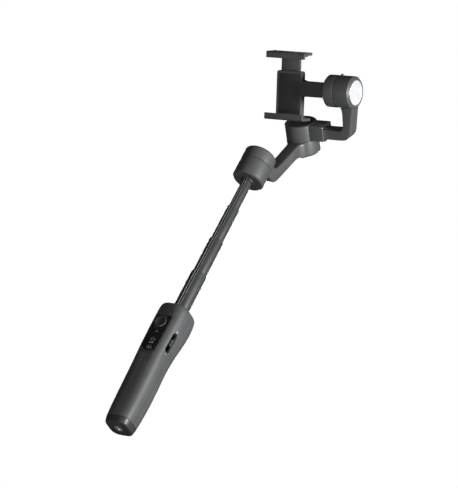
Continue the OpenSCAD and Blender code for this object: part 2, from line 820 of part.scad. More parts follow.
module clamp_body() {
    color("#2b2c2e") at_tilt() difference() {
        union() {
            block(body_x, [plate_back, plate_front], [slot_low - pad_t - eps, body_top]);
            jaw(slot_low - pad_t, 1);
            block([body_x[1] - eps, cap_face], [plate_back, plate_front], [-9, 9]);
            translate([cap_face - 1.6, 0, 0]) rotate([0, 90, 0]) cylinder(r = 12, h = 1.6);
        }
        block([tongue_x[0] - 0.3, tongue_x[1] + 0.3], [pocket_back, pocket_front],
            [pocket_floor, body_top + 1]);
        block([body_x[0] + 3, body_x[1] - 3], [pocket_front - eps, plate_front + 1],
            [slot_low + 3, body_top - 3]);
        for (side = [-1, 1])
            upright(jaw_offset + side * rod_spread, rod_ahead, [pocket_floor - 3, 0], rod_r);
    }
}

module clamp_cover() {
    color("#232426") at_tilt()
        block([body_x[0] + 3, body_x[1] - 3], [pocket_front, plate_front],
            [slot_low + 3, body_top - 3]);
}

module lower_jaw_pad() {
    color("#161617") at_tilt()
        block([jaw_x[0] + 1.5, jaw_x[1] - 1.5], [plate_front, slot_back + phone_t],
            [slot_low - pad_t, slot_low]);
}

module clamp_rods() {
    color("silver") at_tilt() for (side = [-1, 1])
        upright(jaw_offset + side * rod_spread, rod_ahead, [pocket_floor - 3, 16], rod_r);
}

module clamp_spring() {
    color("#a9abad") at_tilt() translate([jaw_offset, -rod_ahead, 0])
        for (i = [0:ring_count - 1])
            translate([0, 0, pocket_floor + 0.5 + i * (tongue_low - pocket_floor - 1) / ring_count])
                rotate_extrude() translate([1.7, 0.35]) circle(0.3);
}

module upper_jaw() {
    color("#2b2c2e") at_tilt() difference() {
        union() {
            block(tongue_x, [pocket_back + 0.3, pocket_front - 0.3],
                [tongue_low, slot_high + pad_t + 1]);
            block([body_x[0] + 2, body_x[1] - 2], [plate_back, plate_front],
                [slot_high - 3.5, slot_high + pad_t + eps]);
            jaw(slot_high + pad_t, -1);
        }
        for (side = [-1, 1])
            upright(jaw_offset + side * rod_spread, rod_ahead, [tongue_low - 1, 31], rod_r + fit);
    }
}

module upper_jaw_pad() {
    color("#161617") at_tilt()
        block([jaw_x[0] + 1.5, jaw_x[1] - 1.5], [plate_front, slot_back + phone_t],
            [slot_high, slot_high + pad_t]);
}

handle_front_shell();
handle_rear_shell();
base_cap();
tripod_insert();
control_panel();
joystick_socket();
joystick_ring();
joystick_cap();
mode_button();
shutter_button();
main_board();
battery();
stick_socket();
zoom_slider();
trigger();
trigger_pin();
usb_port();
shell_screws();
stick_tube_1();
stick_tube_2();
stick_tube_3();
stick_tube_4();
tube_bush_1();
tube_bush_2();
tube_bush_3();
tube_bush_4();
stick_head();
pan_housing();
pan_stator();
pan_bearings();
pan_bell();
pan_magnets();
pan_shaft();
pan_cover();
pan_arm();
roll_stator();
roll_bearings();
roll_bell();
roll_magnets();
roll_shaft();
roll_cover();
roll_head();
roll_head_cover();
sleeve_rim();
arm_lock_screw();
cross_arm();
tilt_stator();
tilt_bearings();
tilt_bell();
tilt_magnets();
tilt_shaft();
tilt_end_disc();
tilt_cap();
clamp_body();
clamp_cover();
lower_jaw_pad();
clamp_rods();
clamp_spring();
upper_jaw();
upper_jaw_pad();
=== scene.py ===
import json
import math

import bmesh
import bpy
from mathutils import Matrix, Vector


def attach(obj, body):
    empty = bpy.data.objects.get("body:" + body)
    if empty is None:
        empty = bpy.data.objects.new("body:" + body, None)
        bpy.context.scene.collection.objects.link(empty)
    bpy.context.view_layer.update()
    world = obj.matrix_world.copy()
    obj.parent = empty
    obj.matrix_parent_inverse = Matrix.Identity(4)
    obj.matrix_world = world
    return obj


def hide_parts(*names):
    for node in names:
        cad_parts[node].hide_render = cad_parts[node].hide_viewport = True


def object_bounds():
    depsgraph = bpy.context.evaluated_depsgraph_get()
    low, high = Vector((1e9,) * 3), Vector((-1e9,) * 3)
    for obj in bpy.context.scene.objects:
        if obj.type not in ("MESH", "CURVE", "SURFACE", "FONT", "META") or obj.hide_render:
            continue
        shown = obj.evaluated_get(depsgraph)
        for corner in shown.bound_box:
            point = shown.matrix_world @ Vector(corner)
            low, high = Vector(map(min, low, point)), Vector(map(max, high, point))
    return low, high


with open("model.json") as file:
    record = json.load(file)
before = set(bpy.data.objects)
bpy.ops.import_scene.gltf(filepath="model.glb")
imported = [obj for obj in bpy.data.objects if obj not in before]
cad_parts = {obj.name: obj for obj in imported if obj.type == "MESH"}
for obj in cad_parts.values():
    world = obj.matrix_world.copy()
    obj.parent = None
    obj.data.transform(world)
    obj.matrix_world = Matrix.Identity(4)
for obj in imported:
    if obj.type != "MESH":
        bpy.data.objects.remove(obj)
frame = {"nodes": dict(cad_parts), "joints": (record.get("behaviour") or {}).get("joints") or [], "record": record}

# A hand-held three-axis camera gimbal. Local coordinates are in millimetres; each place is a matrix
# that carries them into the row frame in metres.

CAD_LOW, CAD_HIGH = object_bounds()
MM = 0.001
JOINTS = {j["name"]: j for j in frame["joints"]}
SLOTS = {s["node"]: s["material_slot"] for s in frame["record"]["subparts"]}


# ----- Places -----

def place(origin, x_axis, z_axis):
    """The matrix of a local frame, in millimetres, with its origin and axes in the row frame."""
    x, z = Vector(x_axis).normalized(), Vector(z_axis).normalized()
    y = z.cross(x)
    turn = Matrix((x, y, z)).transposed().to_4x4()
    return Matrix.Translation(Vector(origin)) @ turn @ Matrix.Scale(MM, 4)


AXES_POINT = Vector(JOINTS["tilt_turn"]["pos_m"])
ROLL_AXIS = Vector(JOINTS["roll_turn"]["axis"])
TILT_AXIS = Vector(JOINTS["tilt_turn"]["axis"])
JAW_AXIS = Vector(JOINTS["jaw_slide"]["axis"])

AT_HANDLE = place((0, 0, 0), (1, 0, 0), (0, 0, 1))
AT_PAN = place(JOINTS["pan_turn"]["pos_m"], (1, 0, 0), (0, 0, 1))
AT_AXES = place(AXES_POINT, (1, 0, 0), ROLL_AXIS)
AT_ROLL = place(AXES_POINT, TILT_AXIS, ROLL_AXIS)
AT_TILT = place(AXES_POINT, TILT_AXIS, JAW_AXIS)
# Along the tilt axis, with Z from the motor's outer end towards the clamp
ALONG_TILT = place(AXES_POINT, ROLL_AXIS, -TILT_AXIS)
ALONG_TILT_CAP = place(AXES_POINT, JAW_AXIS, -TILT_AXIS)


def front(z, x=0.0):
    """A place on the handle's front at a height, with Z pointing out of it."""
    return place((x * MM, 0, z * MM), (1, 0, 0), (0, -1, 0))


def limits(node, where=AT_HANDLE):
    """Lowest and highest corner of a CAD node in a local frame, in millimetres."""
    back = where.inverted()
    points = [back @ v.co for v in frame["nodes"][node].data.vertices]
    low = Vector(min(p[k] for p in points) for k in range(3))
    high = Vector(max(p[k] for p in points) for k in range(3))
    return low, high


def middle_z(node):
    low, high = limits(node)
    return (low.z + high.z) / 2


# ----- Materials -----

def new_material(name):
    material = bpy.data.materials.new(name)
    material.use_nodes = True
    return material, material.node_tree, material.node_tree.nodes["Principled BSDF"]


def add_node(tree, kind, **values):
    """A new shader node, with values for inputs such as From Min given as from_min."""
    node = tree.nodes.new("ShaderNode" + kind)
    for name, value in values.items():
        node.inputs[name.replace("_", " ").title()].default_value = value
    return node


def object_coordinates(tree):
    return add_node(tree, "TexCoord").outputs["Object"]


def noise(tree, scale, detail=4.0, roughness=0.6, stretch=(1, 1, 1)):
    """Noise in object coordinates, with scale in cycles per metre."""
    mapping = add_node(tree, "Mapping", scale=stretch)
    texture = add_node(tree, "TexNoise", scale=scale, detail=detail, roughness=roughness)
    tree.links.new(object_coordinates(tree), mapping.inputs["Vector"])
    tree.links.new(mapping.outputs["Vector"], texture.inputs["Vector"])
    return texture.outputs["Fac"]


def ramp(tree, value, low, high):
    node = add_node(tree, "ValToRGB")
    for element, position, colour in zip(node.color_ramp.elements, (0.3, 0.7), (low, high)):
        element.position = position
        element.color = (*colour, 1.0)
    tree.links.new(value, node.inputs["Fac"])
    return node.outputs["Color"]


def spread(tree, value, low, high):
    node = add_node(tree, "MapRange", from_min=0.3, from_max=0.7, to_min=low, to_max=high)
    tree.links.new(value, node.inputs["Value"])
    return node.outputs["Result"]


def bump(tree, shader, heights):
    """Adds bumps, each given as (value, strength, distance in metres)."""
    normal = None
    for value, strength, distance in heights:
        node = add_node(tree, "Bump", strength=strength, distance=distance)
        tree.links.new(value, node.inputs["Height"])
        if normal:
            tree.links.new(normal, node.inputs["Normal"])
        normal = node.outputs["Normal"]
    tree.links.new(normal, shader.inputs["Normal"])


def surface(name, dark, light, rough, metal=0.0, grain=(900, 0.25, 0.00006), blotch=45,
            stretch=(1, 1, 1), coat=0.0, specular=0.5):
    """A surface with blotchy colour, uneven roughness and a fine grain (scale, strength, depth)."""
    material, tree, shader = new_material(name)
    shader.inputs["Metallic"].default_value = metal
    shader.inputs["Coat Weight"].default_value = coat
    shader.inputs["Coat Roughness"].default_value = 0.08
    shader.inputs["Specular IOR Level"].default_value = specular
    broad = noise(tree, blotch, detail=3.0)
    fine = noise(tree, grain[0], detail=5.0, roughness=0.7, stretch=stretch)
    tree.links.new(ramp(tree, broad, dark, light), shader.inputs["Base Color"])
    tree.links.new(spread(tree, fine, *rough), shader.inputs["Roughness"])
    bump(tree, shader, [(fine, grain[1], grain[2]), (broad, 0.05, 0.0002)])
    return material


def grey(value, tint=0.02):
    return (value * (1 - tint), value, value * (1 + tint))


def ribbed_rubber():
    """Rubber with fine ribs across the clamp."""
    material, tree, shader = new_material("ribbed_rubber")
    wave = add_node(tree, "TexWave", scale=260, distortion=0.2)
    tree.links.new(object_coordinates(tree), wave.inputs["Vector"])
    fine = noise(tree, 1500)
    tree.links.new(ramp(tree, fine, grey(0.012), grey(0.024)), shader.inputs["Base Color"])
    tree.links.new(spread(tree, fine, 0.75, 0.92), shader.inputs["Roughness"])
    bump(tree, shader, [(wave.outputs["Fac"], 0.35, 0.0002), (fine, 0.3, 0.00008)])
    return material


def spun_metal():
    """Bright metal with fine rings round the tilt axis, and its soft sheen."""
    material, tree, shader = new_material("spun_metal")
    length = add_node(tree, "VectorMath")
    length.operation = "DISTANCE"
    length.inputs[1].default_value = AXES_POINT + TILT_AXIS * CAP_END * MM
    tree.links.new(object_coordinates(tree), length.inputs[0])
    rings = add_node(tree, "Math")
    rings.operation = "MULTIPLY"
    rings.inputs[1].default_value = 5200
    sine = add_node(tree, "Math")
    sine.operation = "SINE"
    tree.links.new(length.outputs["Value"], rings.inputs[0])
    tree.links.new(rings.outputs["Value"], sine.inputs[0])
    broad = noise(tree, 120)
    shader.inputs["Metallic"].default_value = 0.55
    shader.inputs["Anisotropic"].default_value = 0.5
    tree.links.new(ramp(tree, broad, grey(0.82), grey(0.93)), shader.inputs["Base Color"])
    tree.links.new(spread(tree, broad, 0.3, 0.42), shader.inputs["Roughness"])
    bump(tree, shader, [(sine.outputs["Value"], 0.06, 0.00003)])
    return material


STICK_Z = JOINTS["joystick_updown"]["pos_m"][2] / MM


def two_tone_panel():
    """Gloss black round the controls, and the body's satin grey above the joystick."""
    material, tree, shader = new_material("gloss_panel")
    split = add_node(tree, "SeparateXYZ")
    tree.links.new(object_coordinates(tree), split.inputs["Vector"])
    edge_low, edge_high = (STICK_Z + 9.8) * MM, (STICK_Z + 10.6) * MM
    above = add_node(tree, "MapRange", from_min=edge_low, from_max=edge_high)
    tree.links.new(split.outputs["Z"], above.inputs["Value"])
    fine = noise(tree, 1800, detail=5.0, roughness=0.7)
    colour = add_node(tree, "Mix")
    colour.data_type = "RGBA"
    tree.links.new(above.outputs["Result"], colour.inputs["Factor"])
    tree.links.new(ramp(tree, fine, grey(0.006), grey(0.01)), colour.inputs[6])
    tree.links.new(ramp(tree, fine, grey(0.04), grey(0.052)), colour.inputs[7])
    tree.links.new(colour.outputs[2], shader.inputs["Base Color"])
    tree.links.new(spread(tree, fine, 0.24, 0.34), shader.inputs["Roughness"])
    bump(tree, shader, [(fine, 0.1, 0.00003)])
    return material


CAP_END = limits("tilt_end_disc", AT_ROLL)[1].x

PLASTIC = surface("moulded_plastic", grey(0.052), grey(0.066), (0.5, 0.62), specular=0.35)
CASTING = surface("painted_casting", grey(0.055), grey(0.07), (0.36, 0.48))
DARK = surface("dark_plastic", grey(0.022), grey(0.03), (0.35, 0.5))
GLOSS = two_tone_panel()
BUTTON = surface("button_plastic", grey(0.03), grey(0.042), (0.3, 0.42))
TUBE = surface("anodised_tube", grey(0.1), grey(0.12), (0.3, 0.38), metal=0.7,
               grain=(1400, 0.1, 0.00003), stretch=(1, 1, 0.05))
BUSH = surface("bush_plastic", grey(0.15), grey(0.2), (0.5, 0.65))
STEEL = surface("ground_steel", grey(0.45), grey(0.6), (0.25, 0.4), metal=1.0,
                grain=(1200, 0.15, 0.00003), stretch=(1, 1, 0.1))
BRIGHT = surface("bright_trim", grey(0.68), grey(0.8), (0.2, 0.3), metal=1.0,
                 grain=(2000, 0.1, 0.00002), stretch=(1, 0.1, 1))
COPPER = surface("copper_winding", (0.4, 0.15, 0.06), (0.65, 0.28, 0.12), (0.3, 0.45), metal=0.9,
                 grain=(1500, 0.6, 0.0001), stretch=(0.2, 0.2, 1))
MAGNET = surface("nickel_plate", grey(0.4), grey(0.5), (0.12, 0.22), metal=1.0)
BOARD = surface("solder_mask", (0.006, 0.06, 0.025), (0.012, 0.11, 0.05), (0.3, 0.45),
                grain=(600, 0.3, 0.0001), blotch=400)
SLEEVE = surface("shrink_sleeve", (0.01, 0.06, 0.2), (0.015, 0.08, 0.26), (0.2, 0.35), coat=0.3)
MARK = surface("pale_mark", grey(0.55), grey(0.62), (0.4, 0.5))
RUBBER = ribbed_rubber()
SPUN = spun_metal()

CAD_MATERIALS = {
    "body_plastic": PLASTIC, "panel_plastic": GLOSS, "button_plastic": BUTTON, "stick_metal": TUBE,
    "bush_plastic": BUSH, "bright_trim": BRIGHT, "end_disc": SPUN, "rubber_pad": RUBBER,
    "steel": STEEL, "copper_steel": COPPER, "magnet": MAGNET, "board": BOARD, "cell_sleeve": SLEEVE,
}


# ----- Building meshes -----

# Edges between faces at a wider angle than this, in degrees, stay sharp
SHARP = 35


def add_object(name, data):
    made = bpy.data.objects.new(name, data)
    bpy.context.scene.collection.objects.link(made)
    return made


def finish_piece(name, bm, where, body, material, angle=SHARP):
    """Turns a mesh in local millimetres into a piece that rides on a body.

    A piece named after a CAD node stands in for it, and the CAD node is hidden.
    """
    bmesh.ops.remove_doubles(bm, verts=bm.verts, dist=0.0005)
    bmesh.ops.recalc_face_normals(bm, faces=bm.faces)
    mesh = bpy.data.meshes.new(name)
    bm.to_mesh(mesh)
    bm.free()
    mesh.transform(where)
    mesh.shade_smooth()
    mesh.set_sharp_from_angle(angle=math.radians(angle))
    mesh.materials.append(material)
    piece = add_object(name, mesh)
    if body:
        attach(piece, body)
    if name in SLOTS:
        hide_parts(name)
    return piece


def arc(centre, radius, start, end, steps):
    """Points of an arc in a plane, with angles in degrees."""
    turns = [math.radians(start + (end - start) * i / steps) for i in range(steps + 1)]
    return [(centre[0] + radius * math.cos(t), centre[1] + radius * math.sin(t)) for t in turns]


def rounded(points, radius, closed=True, steps=4):
    """The outline with its corners rounded; radius is one number or one for each corner."""
    count = len(points)
    radii = radius if isinstance(radius, (list, tuple)) else [radius] * count
    made = []
    for i, corner in enumerate(points):
        here = Vector(corner)
        if radii[i] == 0 or (not closed and i in (0, count - 1)):
            made.append(tuple(here))
            continue
        back = Vector(points[i - 1]) - here
        ahead = Vector(points[(i + 1) % count]) - here
        half = back.angle(ahead) / 2
        reach = min(radii[i] / math.tan(half), back.length * 0.49, ahead.length * 0.49)
        start, end = here + back.normalized() * reach, here + ahead.normalized() * reach
        for s in range(steps + 1):
            t = s / steps
            made.append(tuple(start * (1 - t) ** 2 + here * (2 * t * (1 - t)) + end * t * t))
    return made


def rectangle(low, high, radius, steps=6):
    """A rectangle's outline, from its lowest corner, with its corners rounded."""
    corners = [tuple(low), (high[0], low[1]), tuple(high), (low[0], high[1])]
    return rounded(corners, radius, steps=steps)


def lathe(bm, profile, segments=96):
    """Turns a profile of (radius, height) points round Z. Ends on the axis are closed."""
    rings = []
    for radius, height in profile:
        if radius < 1e-6:
            rings.append([bm.verts.new((0, 0, height))])
            continue
        turn = [2 * math.pi * i / segments for i in range(segments)]
        rings.append([bm.verts.new((radius * math.cos(t), radius * math.sin(t), height))
                      for t in turn])
    for low, high in zip(rings, rings[1:]):
        for i in range(segments):
            j = (i + 1) % segments
            quad = [low[i % len(low)], low[j % len(low)], high[j % len(high)], high[i % len(high)]]
            corners = list(dict.fromkeys(quad))
            if len(corners) > 2:
                bm.faces.new(corners)


def turned(profile, radius=0.4, segments=96):
    """A new mesh: a profile that starts and ends on the axis, turned with soft corners."""
    bm = bmesh.new()
    lathe(bm, rounded(profile, radius, closed=False), segments)
    return bm


def tube_shape(profile, radius=0.3, segments=96):
    """A new mesh: a closed ring profile turned round Z."""
    bm = bmesh.new()
    soft = rounded(profile, radius)
    lathe(bm, soft + [soft[0]], segments)
    return bm


def loft(bm, rings, caps=True):
    """Joins rings, each a list of 3-D points of the same length."""
    made = [[bm.verts.new(p) for p in ring] for ring in rings]
    count = len(made[0])
    for low, high in zip(made, made[1:]):
        for i in range(count):
            j = (i + 1) % count
            bm.faces.new([low[i], low[j], high[j], high[i]])
    if caps:
        bm.faces.new(list(reversed(made[0])))
        bm.faces.new(made[-1])


def round_edges(bm, edges, width, steps):
    bmesh.ops.bevel(bm, geom=edges, offset=width, segments=steps, profile=0.5, affect="EDGES",
                    clamp_overlap=True)


def prism(outline, low, high, bevel=0.4, axis="z", steps=3):
    """A new mesh: an outline extruded from low to high along an axis.

    The rims of an outline of five points or more can be bevelled.
    """
    bm = bmesh.new()
    turn = {"z": lambda a, b, c: (a, b, c), "y": lambda a, b, c: (a, c, b),
            "x": lambda a, b, c: (c, a, b)}[axis]
    loft(bm, [[turn(a, b, c) for a, b in outline] for c in (low, high)])
    bmesh.ops.recalc_face_normals(bm, faces=bm.faces)
    if bevel:
        rims = [e for e in bm.edges if any(len(f.verts) > 4 for f in e.link_faces)
                and e.calc_face_angle(0) > 1.0]
        round_edges(bm, rims, bevel, steps)
    return bm


def block(low, high, bevel=0.5, steps=3):
    """A new mesh: a box with all its edges rounded."""
    bm = bmesh.new()
    bmesh.ops.create_cube(bm, size=1)
    size, middle = Vector(high) - Vector(low), (Vector(high) + Vector(low)) / 2
    bmesh.ops.scale(bm, vec=size, verts=bm.verts)
    bmesh.ops.translate(bm, vec=middle, verts=bm.verts)
    round_edges(bm, bm.edges[:], bevel, steps)
    return bm


def cut(piece, *cutters, operation="DIFFERENCE"):
    """Applies booleans with other meshes, given as (mesh, place), and removes them."""
    for bm, where in cutters:
        tool = finish_piece("cutter", bm, where, None, GLOSS)
        modifier = piece.modifiers.new("cut", "BOOLEAN")
        modifier.object, modifier.operation, modifier.solver = tool, operation, "EXACT"
        graph = bpy.context.evaluated_depsgraph_get()
        result = bpy.data.meshes.new_from_object(piece.evaluated_get(graph))
        piece.modifiers.remove(modifier)
        piece.data = result
        bpy.data.objects.remove(tool)
    piece.data.set_sharp_from_angle(angle=math.radians(SHARP))


def join(piece, *shapes):
    cut(piece, *shapes, operation="UNION")


def soften(piece, width, angle=40):
    """Rounds the sharp edges left by booleans."""
    bm = bmesh.new()
    bm.from_mesh(piece.data)
    bmesh.ops.remove_doubles(bm, verts=bm.verts, dist=1e-6)
    bmesh.ops.dissolve_limit(bm, angle_limit=math.radians(1), verts=bm.verts, edges=bm.edges)
    sharp = [e for e in bm.edges if len(e.link_faces) == 2
             and e.calc_face_angle(0) > math.radians(angle)]
    round_edges(bm, sharp, width * MM, 2)
    bm.to_mesh(piece.data)
    bm.free()
    piece.data.shade_smooth()
    piece.data.set_sharp_from_angle(angle=math.radians(SHARP))


def between(line, at):
    """The value at a position of a line of (position, value) points, eased between them."""
    for (a, va), (b, vb) in zip(line, line[1:]):
        if a <= at <= b:
            before = line[max(line.index((a, va)) - 1, 0)]
            after = line[min(line.index((b, vb)) + 1, len(line) - 1)]
            t = (at - a) / (b - a)
            slope_a = (vb - before[1]) / (b - before[0]) * (b - a)
            slope_b = (after[1] - va) / (after[0] - a) * (b - a)
            return ((2 * t ** 3 - 3 * t ** 2 + 1) * va + (t ** 3 - 2 * t ** 2 + t) * slope_a
                    + (3 * t ** 2 - 2 * t ** 3) * vb + (t ** 3 - t ** 2) * slope_b)
    return line[-1][1]


# ----- Handle -----

HANDLE_TOP = limits("handle_front_shell")[1].z
BASE_TOP = limits("base_cap")[1].z
REAR_LINE = [(0, 14.4), (8, 15.6), (34, 16.8), (62, 16.6), (86, 15.2), (106, 16), (121, 18.2),
             (137, 20.2), (150, 20.1), (157, 19.3), (160, 18.4), (162, 16.6), (163, 14.4)]
FRONT_LINE = [(0, 15.4), (8, 16.8), (34, 17.8), (66, 18.6), (96, 20.1), (126, 20.15), (150, 20.1),
              (159, 19.7), (162, 18.4), (163, 16.4)]
SIDE_LINE = [(0, 14.8), (8, 16.2), (40, 17.4), (80, 17.4), (105, 18.2), (130, 19.2), (150, 19.2),
             (157, 18.6), (160, 17.8), (162, 16.2), (163, 14.2)]
SQUARENESS = 3.3


def handle_ring(z, inset=0.0, count=96):
    """The handle's rounded cross-section at a height."""
    rear, fore = between(REAR_LINE, z) - inset, between(FRONT_LINE, z) - inset
    wide = between(SIDE_LINE, z) - inset
    ring = []
    for i in range(count):
        t = 2 * math.pi * i / count
        c, s = math.cos(t), math.sin(t)
        x = wide * math.copysign(abs(c) ** (2 / SQUARENESS), c)
        y = (rear + fore) / 2 * math.copysign(abs(s) ** (2 / SQUARENESS), s)
        ring.append((x, y + (rear - fore) / 2, z))
    return ring


def side_of_handle(y, z):
    """How far out the handle's side lies at a place on it."""
    rear, fore = between(REAR_LINE, z), between(FRONT_LINE, z)
    t = abs(y - (rear - fore) / 2) / ((rear + fore) / 2)
    return between(SIDE_LINE, z) * (1 - t ** SQUARENESS) ** (1 / SQUARENESS)


def steps_between(low, high, step):
    count = max(1, round((high - low) / step))
    return [low + (high - low) * i / count for i in range(count + 1)]


def cylinder(radius, low, high, segments=64):
    bm = bmesh.new()
    lathe(bm, [(0, low), (radius, low), (radius, high), (0, high)], segments)
    return bm


def slot_outline(width, length, steps=16):
    """An upright slot with round ends, centred on the origin."""
    radius = width / 2
    straight = length / 2 - radius
    return arc((0, straight), radius, 0, 180, steps) + arc((0, -straight), radius, 180, 360, steps)


def handle_shell(name, low_y, high_y):
    """One half of the handle's shell, hollow, between two planes across the handle."""
    bm = bmesh.new()
    heights = steps_between(BASE_TOP, 150, 3) + steps_between(150, HANDLE_TOP, 0.8)[1:]
    rings = [handle_ring(z) for z in heights]
    rings += [[(x * 0.985, y * 0.985, HANDLE_TOP + 0.25) for x, y, z in rings[-1]]]
    loft(bm, rings)
    shell = finish_piece(name, bm, AT_HANDLE, "handle", PLASTIC)
    hollow = bmesh.new()
    loft(hollow, [handle_ring(z, SHELL_WALL) for z in steps_between(BASE_TOP - 1, 156, 6)])
    half = block((-30, low_y, -5), (30, high_y, 180), bevel=0.01, steps=1)
    cut(shell, (hollow, AT_HANDLE))
    cut(shell, (half, AT_HANDLE), operation="INTERSECT")
    collar = limits("stick_socket")[1]
    cut(shell, (cylinder(collar.x + 0.1, 100, 180), AT_HANDLE))
    return shell


PANEL_LOW, PANEL_HIGH = limits("control_panel")
PANEL_W = PANEL_HIGH.x - PANEL_LOW.x
PANEL_L = PANEL_HIGH.z - PANEL_LOW.z
PANEL_Z = middle_z("control_panel")
SLIDER_LOW, SLIDER_HIGH = limits("zoom_slider")
SLIDER_Z = middle_z("zoom_slider")
SLIDER_Y = (SLIDER_LOW.y + SLIDER_HIGH.y) / 2
TRIGGER_LOW, TRIGGER_HIGH = limits("trigger")
PORT_LOW, PORT_HIGH = limits("usb_port")
# Plane between the shells, half the gap there, and the wall of both
PART_Y, SEAM, SHELL_WALL = 1.0, 0.12, 2.4
# The opening behind the panel
WINDOW_Z, WINDOW_W, WINDOW_L = 111.75, 12, 36.5
# The joystick's well, and the slider's slot in its shallow recess
WELL_R = 9.5
SLOT_W, SLOT_L, SLOT_FLOOR = 6.4, 23.4, 16.6
RECESS_W, RECESS_L = 7.8, 26.0
ON_SIDE = place((0, SLIDER_Y * MM, SLIDER_Z * MM), (0, 1, 0), (1, 0, 0))


def side_slot(width, length, low, high):
    """A slot on the handle's right side, long along the handle, between two depths."""
    return prism(slot_outline(width, length), low, high, 0)


def build_handle():
    fore = handle_shell("handle_front_shell", -30, PART_Y - SEAM)
    pocket = prism(slot_outline(PANEL_W + 0.25, PANEL_L + 0.25), 18.9, 30, 0)
    cut(fore, (pocket, front(PANEL_Z)))
    window = prism(slot_outline(WINDOW_W, WINDOW_L), 10, 30, 0)
    cut(fore, (window, front(WINDOW_Z)))
    cut(fore, (cylinder(WELL_R, -30, 30), front(STICK_Z)))
    cut(fore, (block((-7.5, -30, STICK_Z - 7.5), (7.5, 0, STICK_Z + 7.5), 0.1), AT_HANDLE))
    cut(fore, (side_slot(RECESS_W, RECESS_L, SLOT_FLOOR, 24), ON_SIDE))
    cut(fore, (side_slot(SLOT_W, SLOT_L, 14, 24), ON_SIDE))
    soften(fore, 0.35)
    rear = handle_shell("handle_rear_shell", PART_Y + SEAM, 30)
    cut(rear, (block((TRIGGER_LOW.x - 0.4, 10, TRIGGER_LOW.z - 1.2),
                     (TRIGGER_HIGH.x + 0.4, 30, TRIGGER_HIGH.z + 1.0), 1.0), AT_HANDLE))
    cut(rear, (block((PORT_LOW.x - 4, PORT_LOW.y - 0.25, PORT_LOW.z - 0.25),
                     (PORT_HIGH.x, PORT_HIGH.y + 0.25, PORT_HIGH.z + 0.25), 0.5), AT_HANDLE))
    for x in (-12, 12):
        for z in (22, 92):
            hole = place((x * MM, 0, z * MM), (1, 0, 0), (0, 1, 0))
            cut(rear, (cylinder(2.1, 5, 30, 32), hole))
    soften(rear, 0.35)


def build_base():
    bm = bmesh.new()
    rings = [handle_ring(z, inset) for z, inset in ((0, 0.9), (0.25, 0.45), (0.8, 0.1), (1.4, 0))]
    rings += [handle_ring(z) for z in steps_between(2, BASE_TOP - 0.5, 1.5)]
    rings += [handle_ring(BASE_TOP - 0.15, 0.12)]
    loft(bm, rings)
    base = finish_piece("base_cap", bm, AT_HANDLE, "handle", DARK)
    cut(base, (cylinder(5.5, -5, 3), AT_HANDLE), (cylinder(4.6, 2, 20), AT_HANDLE))
    low, high = limits("tripod_insert")
    bore, crest, pitch = 2.6, 3.1, 1.27
    profile = [(4.6, 3), (4.6, high.z), (bore + 0.6, high.z), (bore, high.z - 0.6)]
    turns = int((high.z - 1.6) / pitch)
    for i in range(turns):
        top = high.z - 0.8 - i * pitch
        profile += [(crest, top - pitch * 0.45), (bore, top - pitch * 0.9)]
    profile += [(bore + 0.5, low.z), (5.4, low.z), (5.4, 3)]
    thread = tube_shape(profile, 0.05, 64)
    finish_piece("tripod_insert", thread, AT_HANDLE, "handle", BRIGHT, angle=25)


def build_panel():
    """The glossy panel with its marks, and a pale arc at its lower end that is a painted highlight."""
    face = -PANEL_LOW.y
    bm = prism(slot_outline(PANEL_W - 0.1, PANEL_L - 0.1, 24), face - 1.4, face, 0.45)
    panel = finish_piece("control_panel", bm, front(PANEL_Z), "handle", GLOSS)
    cut(panel, (cylinder(WELL_R - 0.15, -5, 40, 96), front(STICK_Z)))
    for name in ("mode_button", "shutter_button"):
        cut(panel, (cylinder(3.8, -5, 40, 64), front(middle_z(name))))
    proud = face + 0.04

    def mark(name, outline, z, x=0.0, material=MARK):
        finish_piece(name, prism(outline, proud - 0.12, proud, 0.03, steps=1), front(z, x),
                     "handle", material)

    def bow(radius, start, end, thick):
        return arc((0, 0), radius, start, end, 12) + arc((0, 0), radius - thick, end, start, 12)

    mark("joystick_mark", bow(3.0, 235, 305, 0.5), STICK_Z - 9.6)
    between_buttons = middle_z("shutter_button") + 6.2
    dash = rounded([(-1.1, -0.4), (1.1, -0.4), (1.1, 0.4), (-1.1, 0.4)], 0.2)
    mark("left_button_mark", dash, between_buttons, -1.5)
    mark("right_button_mark", dash, between_buttons, 1.5)
    # A pale arc round the panel's lower end: a painted highlight, the reflection of the key light on its rounded
    # edge
    mark("panel_lip", bow(PANEL_W / 2 - 0.7, 215, 305, 0.5), PANEL_LOW.z + PANEL_W / 2, 0, BUSH)


def build_joystick():
    low, high = limits("joystick_socket", front(STICK_Z))
    rim, top = high.x, high.z
    bm = tube_shape([(rim - 0.05, top - 3), (rim - 0.05, top), (rim - 0.95, top),
                     (rim - 1.3, top - 1.6), (3.6, top - 1.9), (3.6, top - 2.9)], 0.2)
    finish_piece("joystick_socket", bm, front(STICK_Z), "handle", DARK)
    ring = [(rim - 0.05, top + 0.02), (rim - 0.05, top + 0.2), (rim - 0.5, top + 0.2),
            (rim - 0.5, top + 0.02)]
    finish_piece("joystick_rim", tube_shape(ring, 0.08), front(STICK_Z), "handle", BUTTON)
    low, high = limits("joystick_cap", front(STICK_Z))
    r, top = high.x, high.z
    profile = [(0, low.z), (1.5, low.z), (1.5, top - 4), (3.8, top - 3.3), (r - 0.3, top - 1.7),
               (r, top - 1.3), (r, top - 0.7), (r - 0.9, top), (r - 1.7, top - 0.05),
               (r - 2.7, top - 0.5), (3, top - 1.0), (0, top - 1.15)]
    finish_piece("joystick_cap", turned(profile, 0.35), front(STICK_Z), "joystick_cap", BUTTON)
    for i in range(4):
        t = math.pi / 4 + i * math.pi / 2
        across, up = 4.4 * math.cos(t), 4.4 * math.sin(t)
        where = front(STICK_Z) @ Matrix.Translation((across, up, top - 0.95))
        grip = turned([(0, -0.2), (0.5, -0.2), (0.5, 0.2), (0, 0.35)], 0.1, 24)
        finish_piece(f"joystick_grip_{i + 1}", grip, where, "joystick_cap", BUTTON)


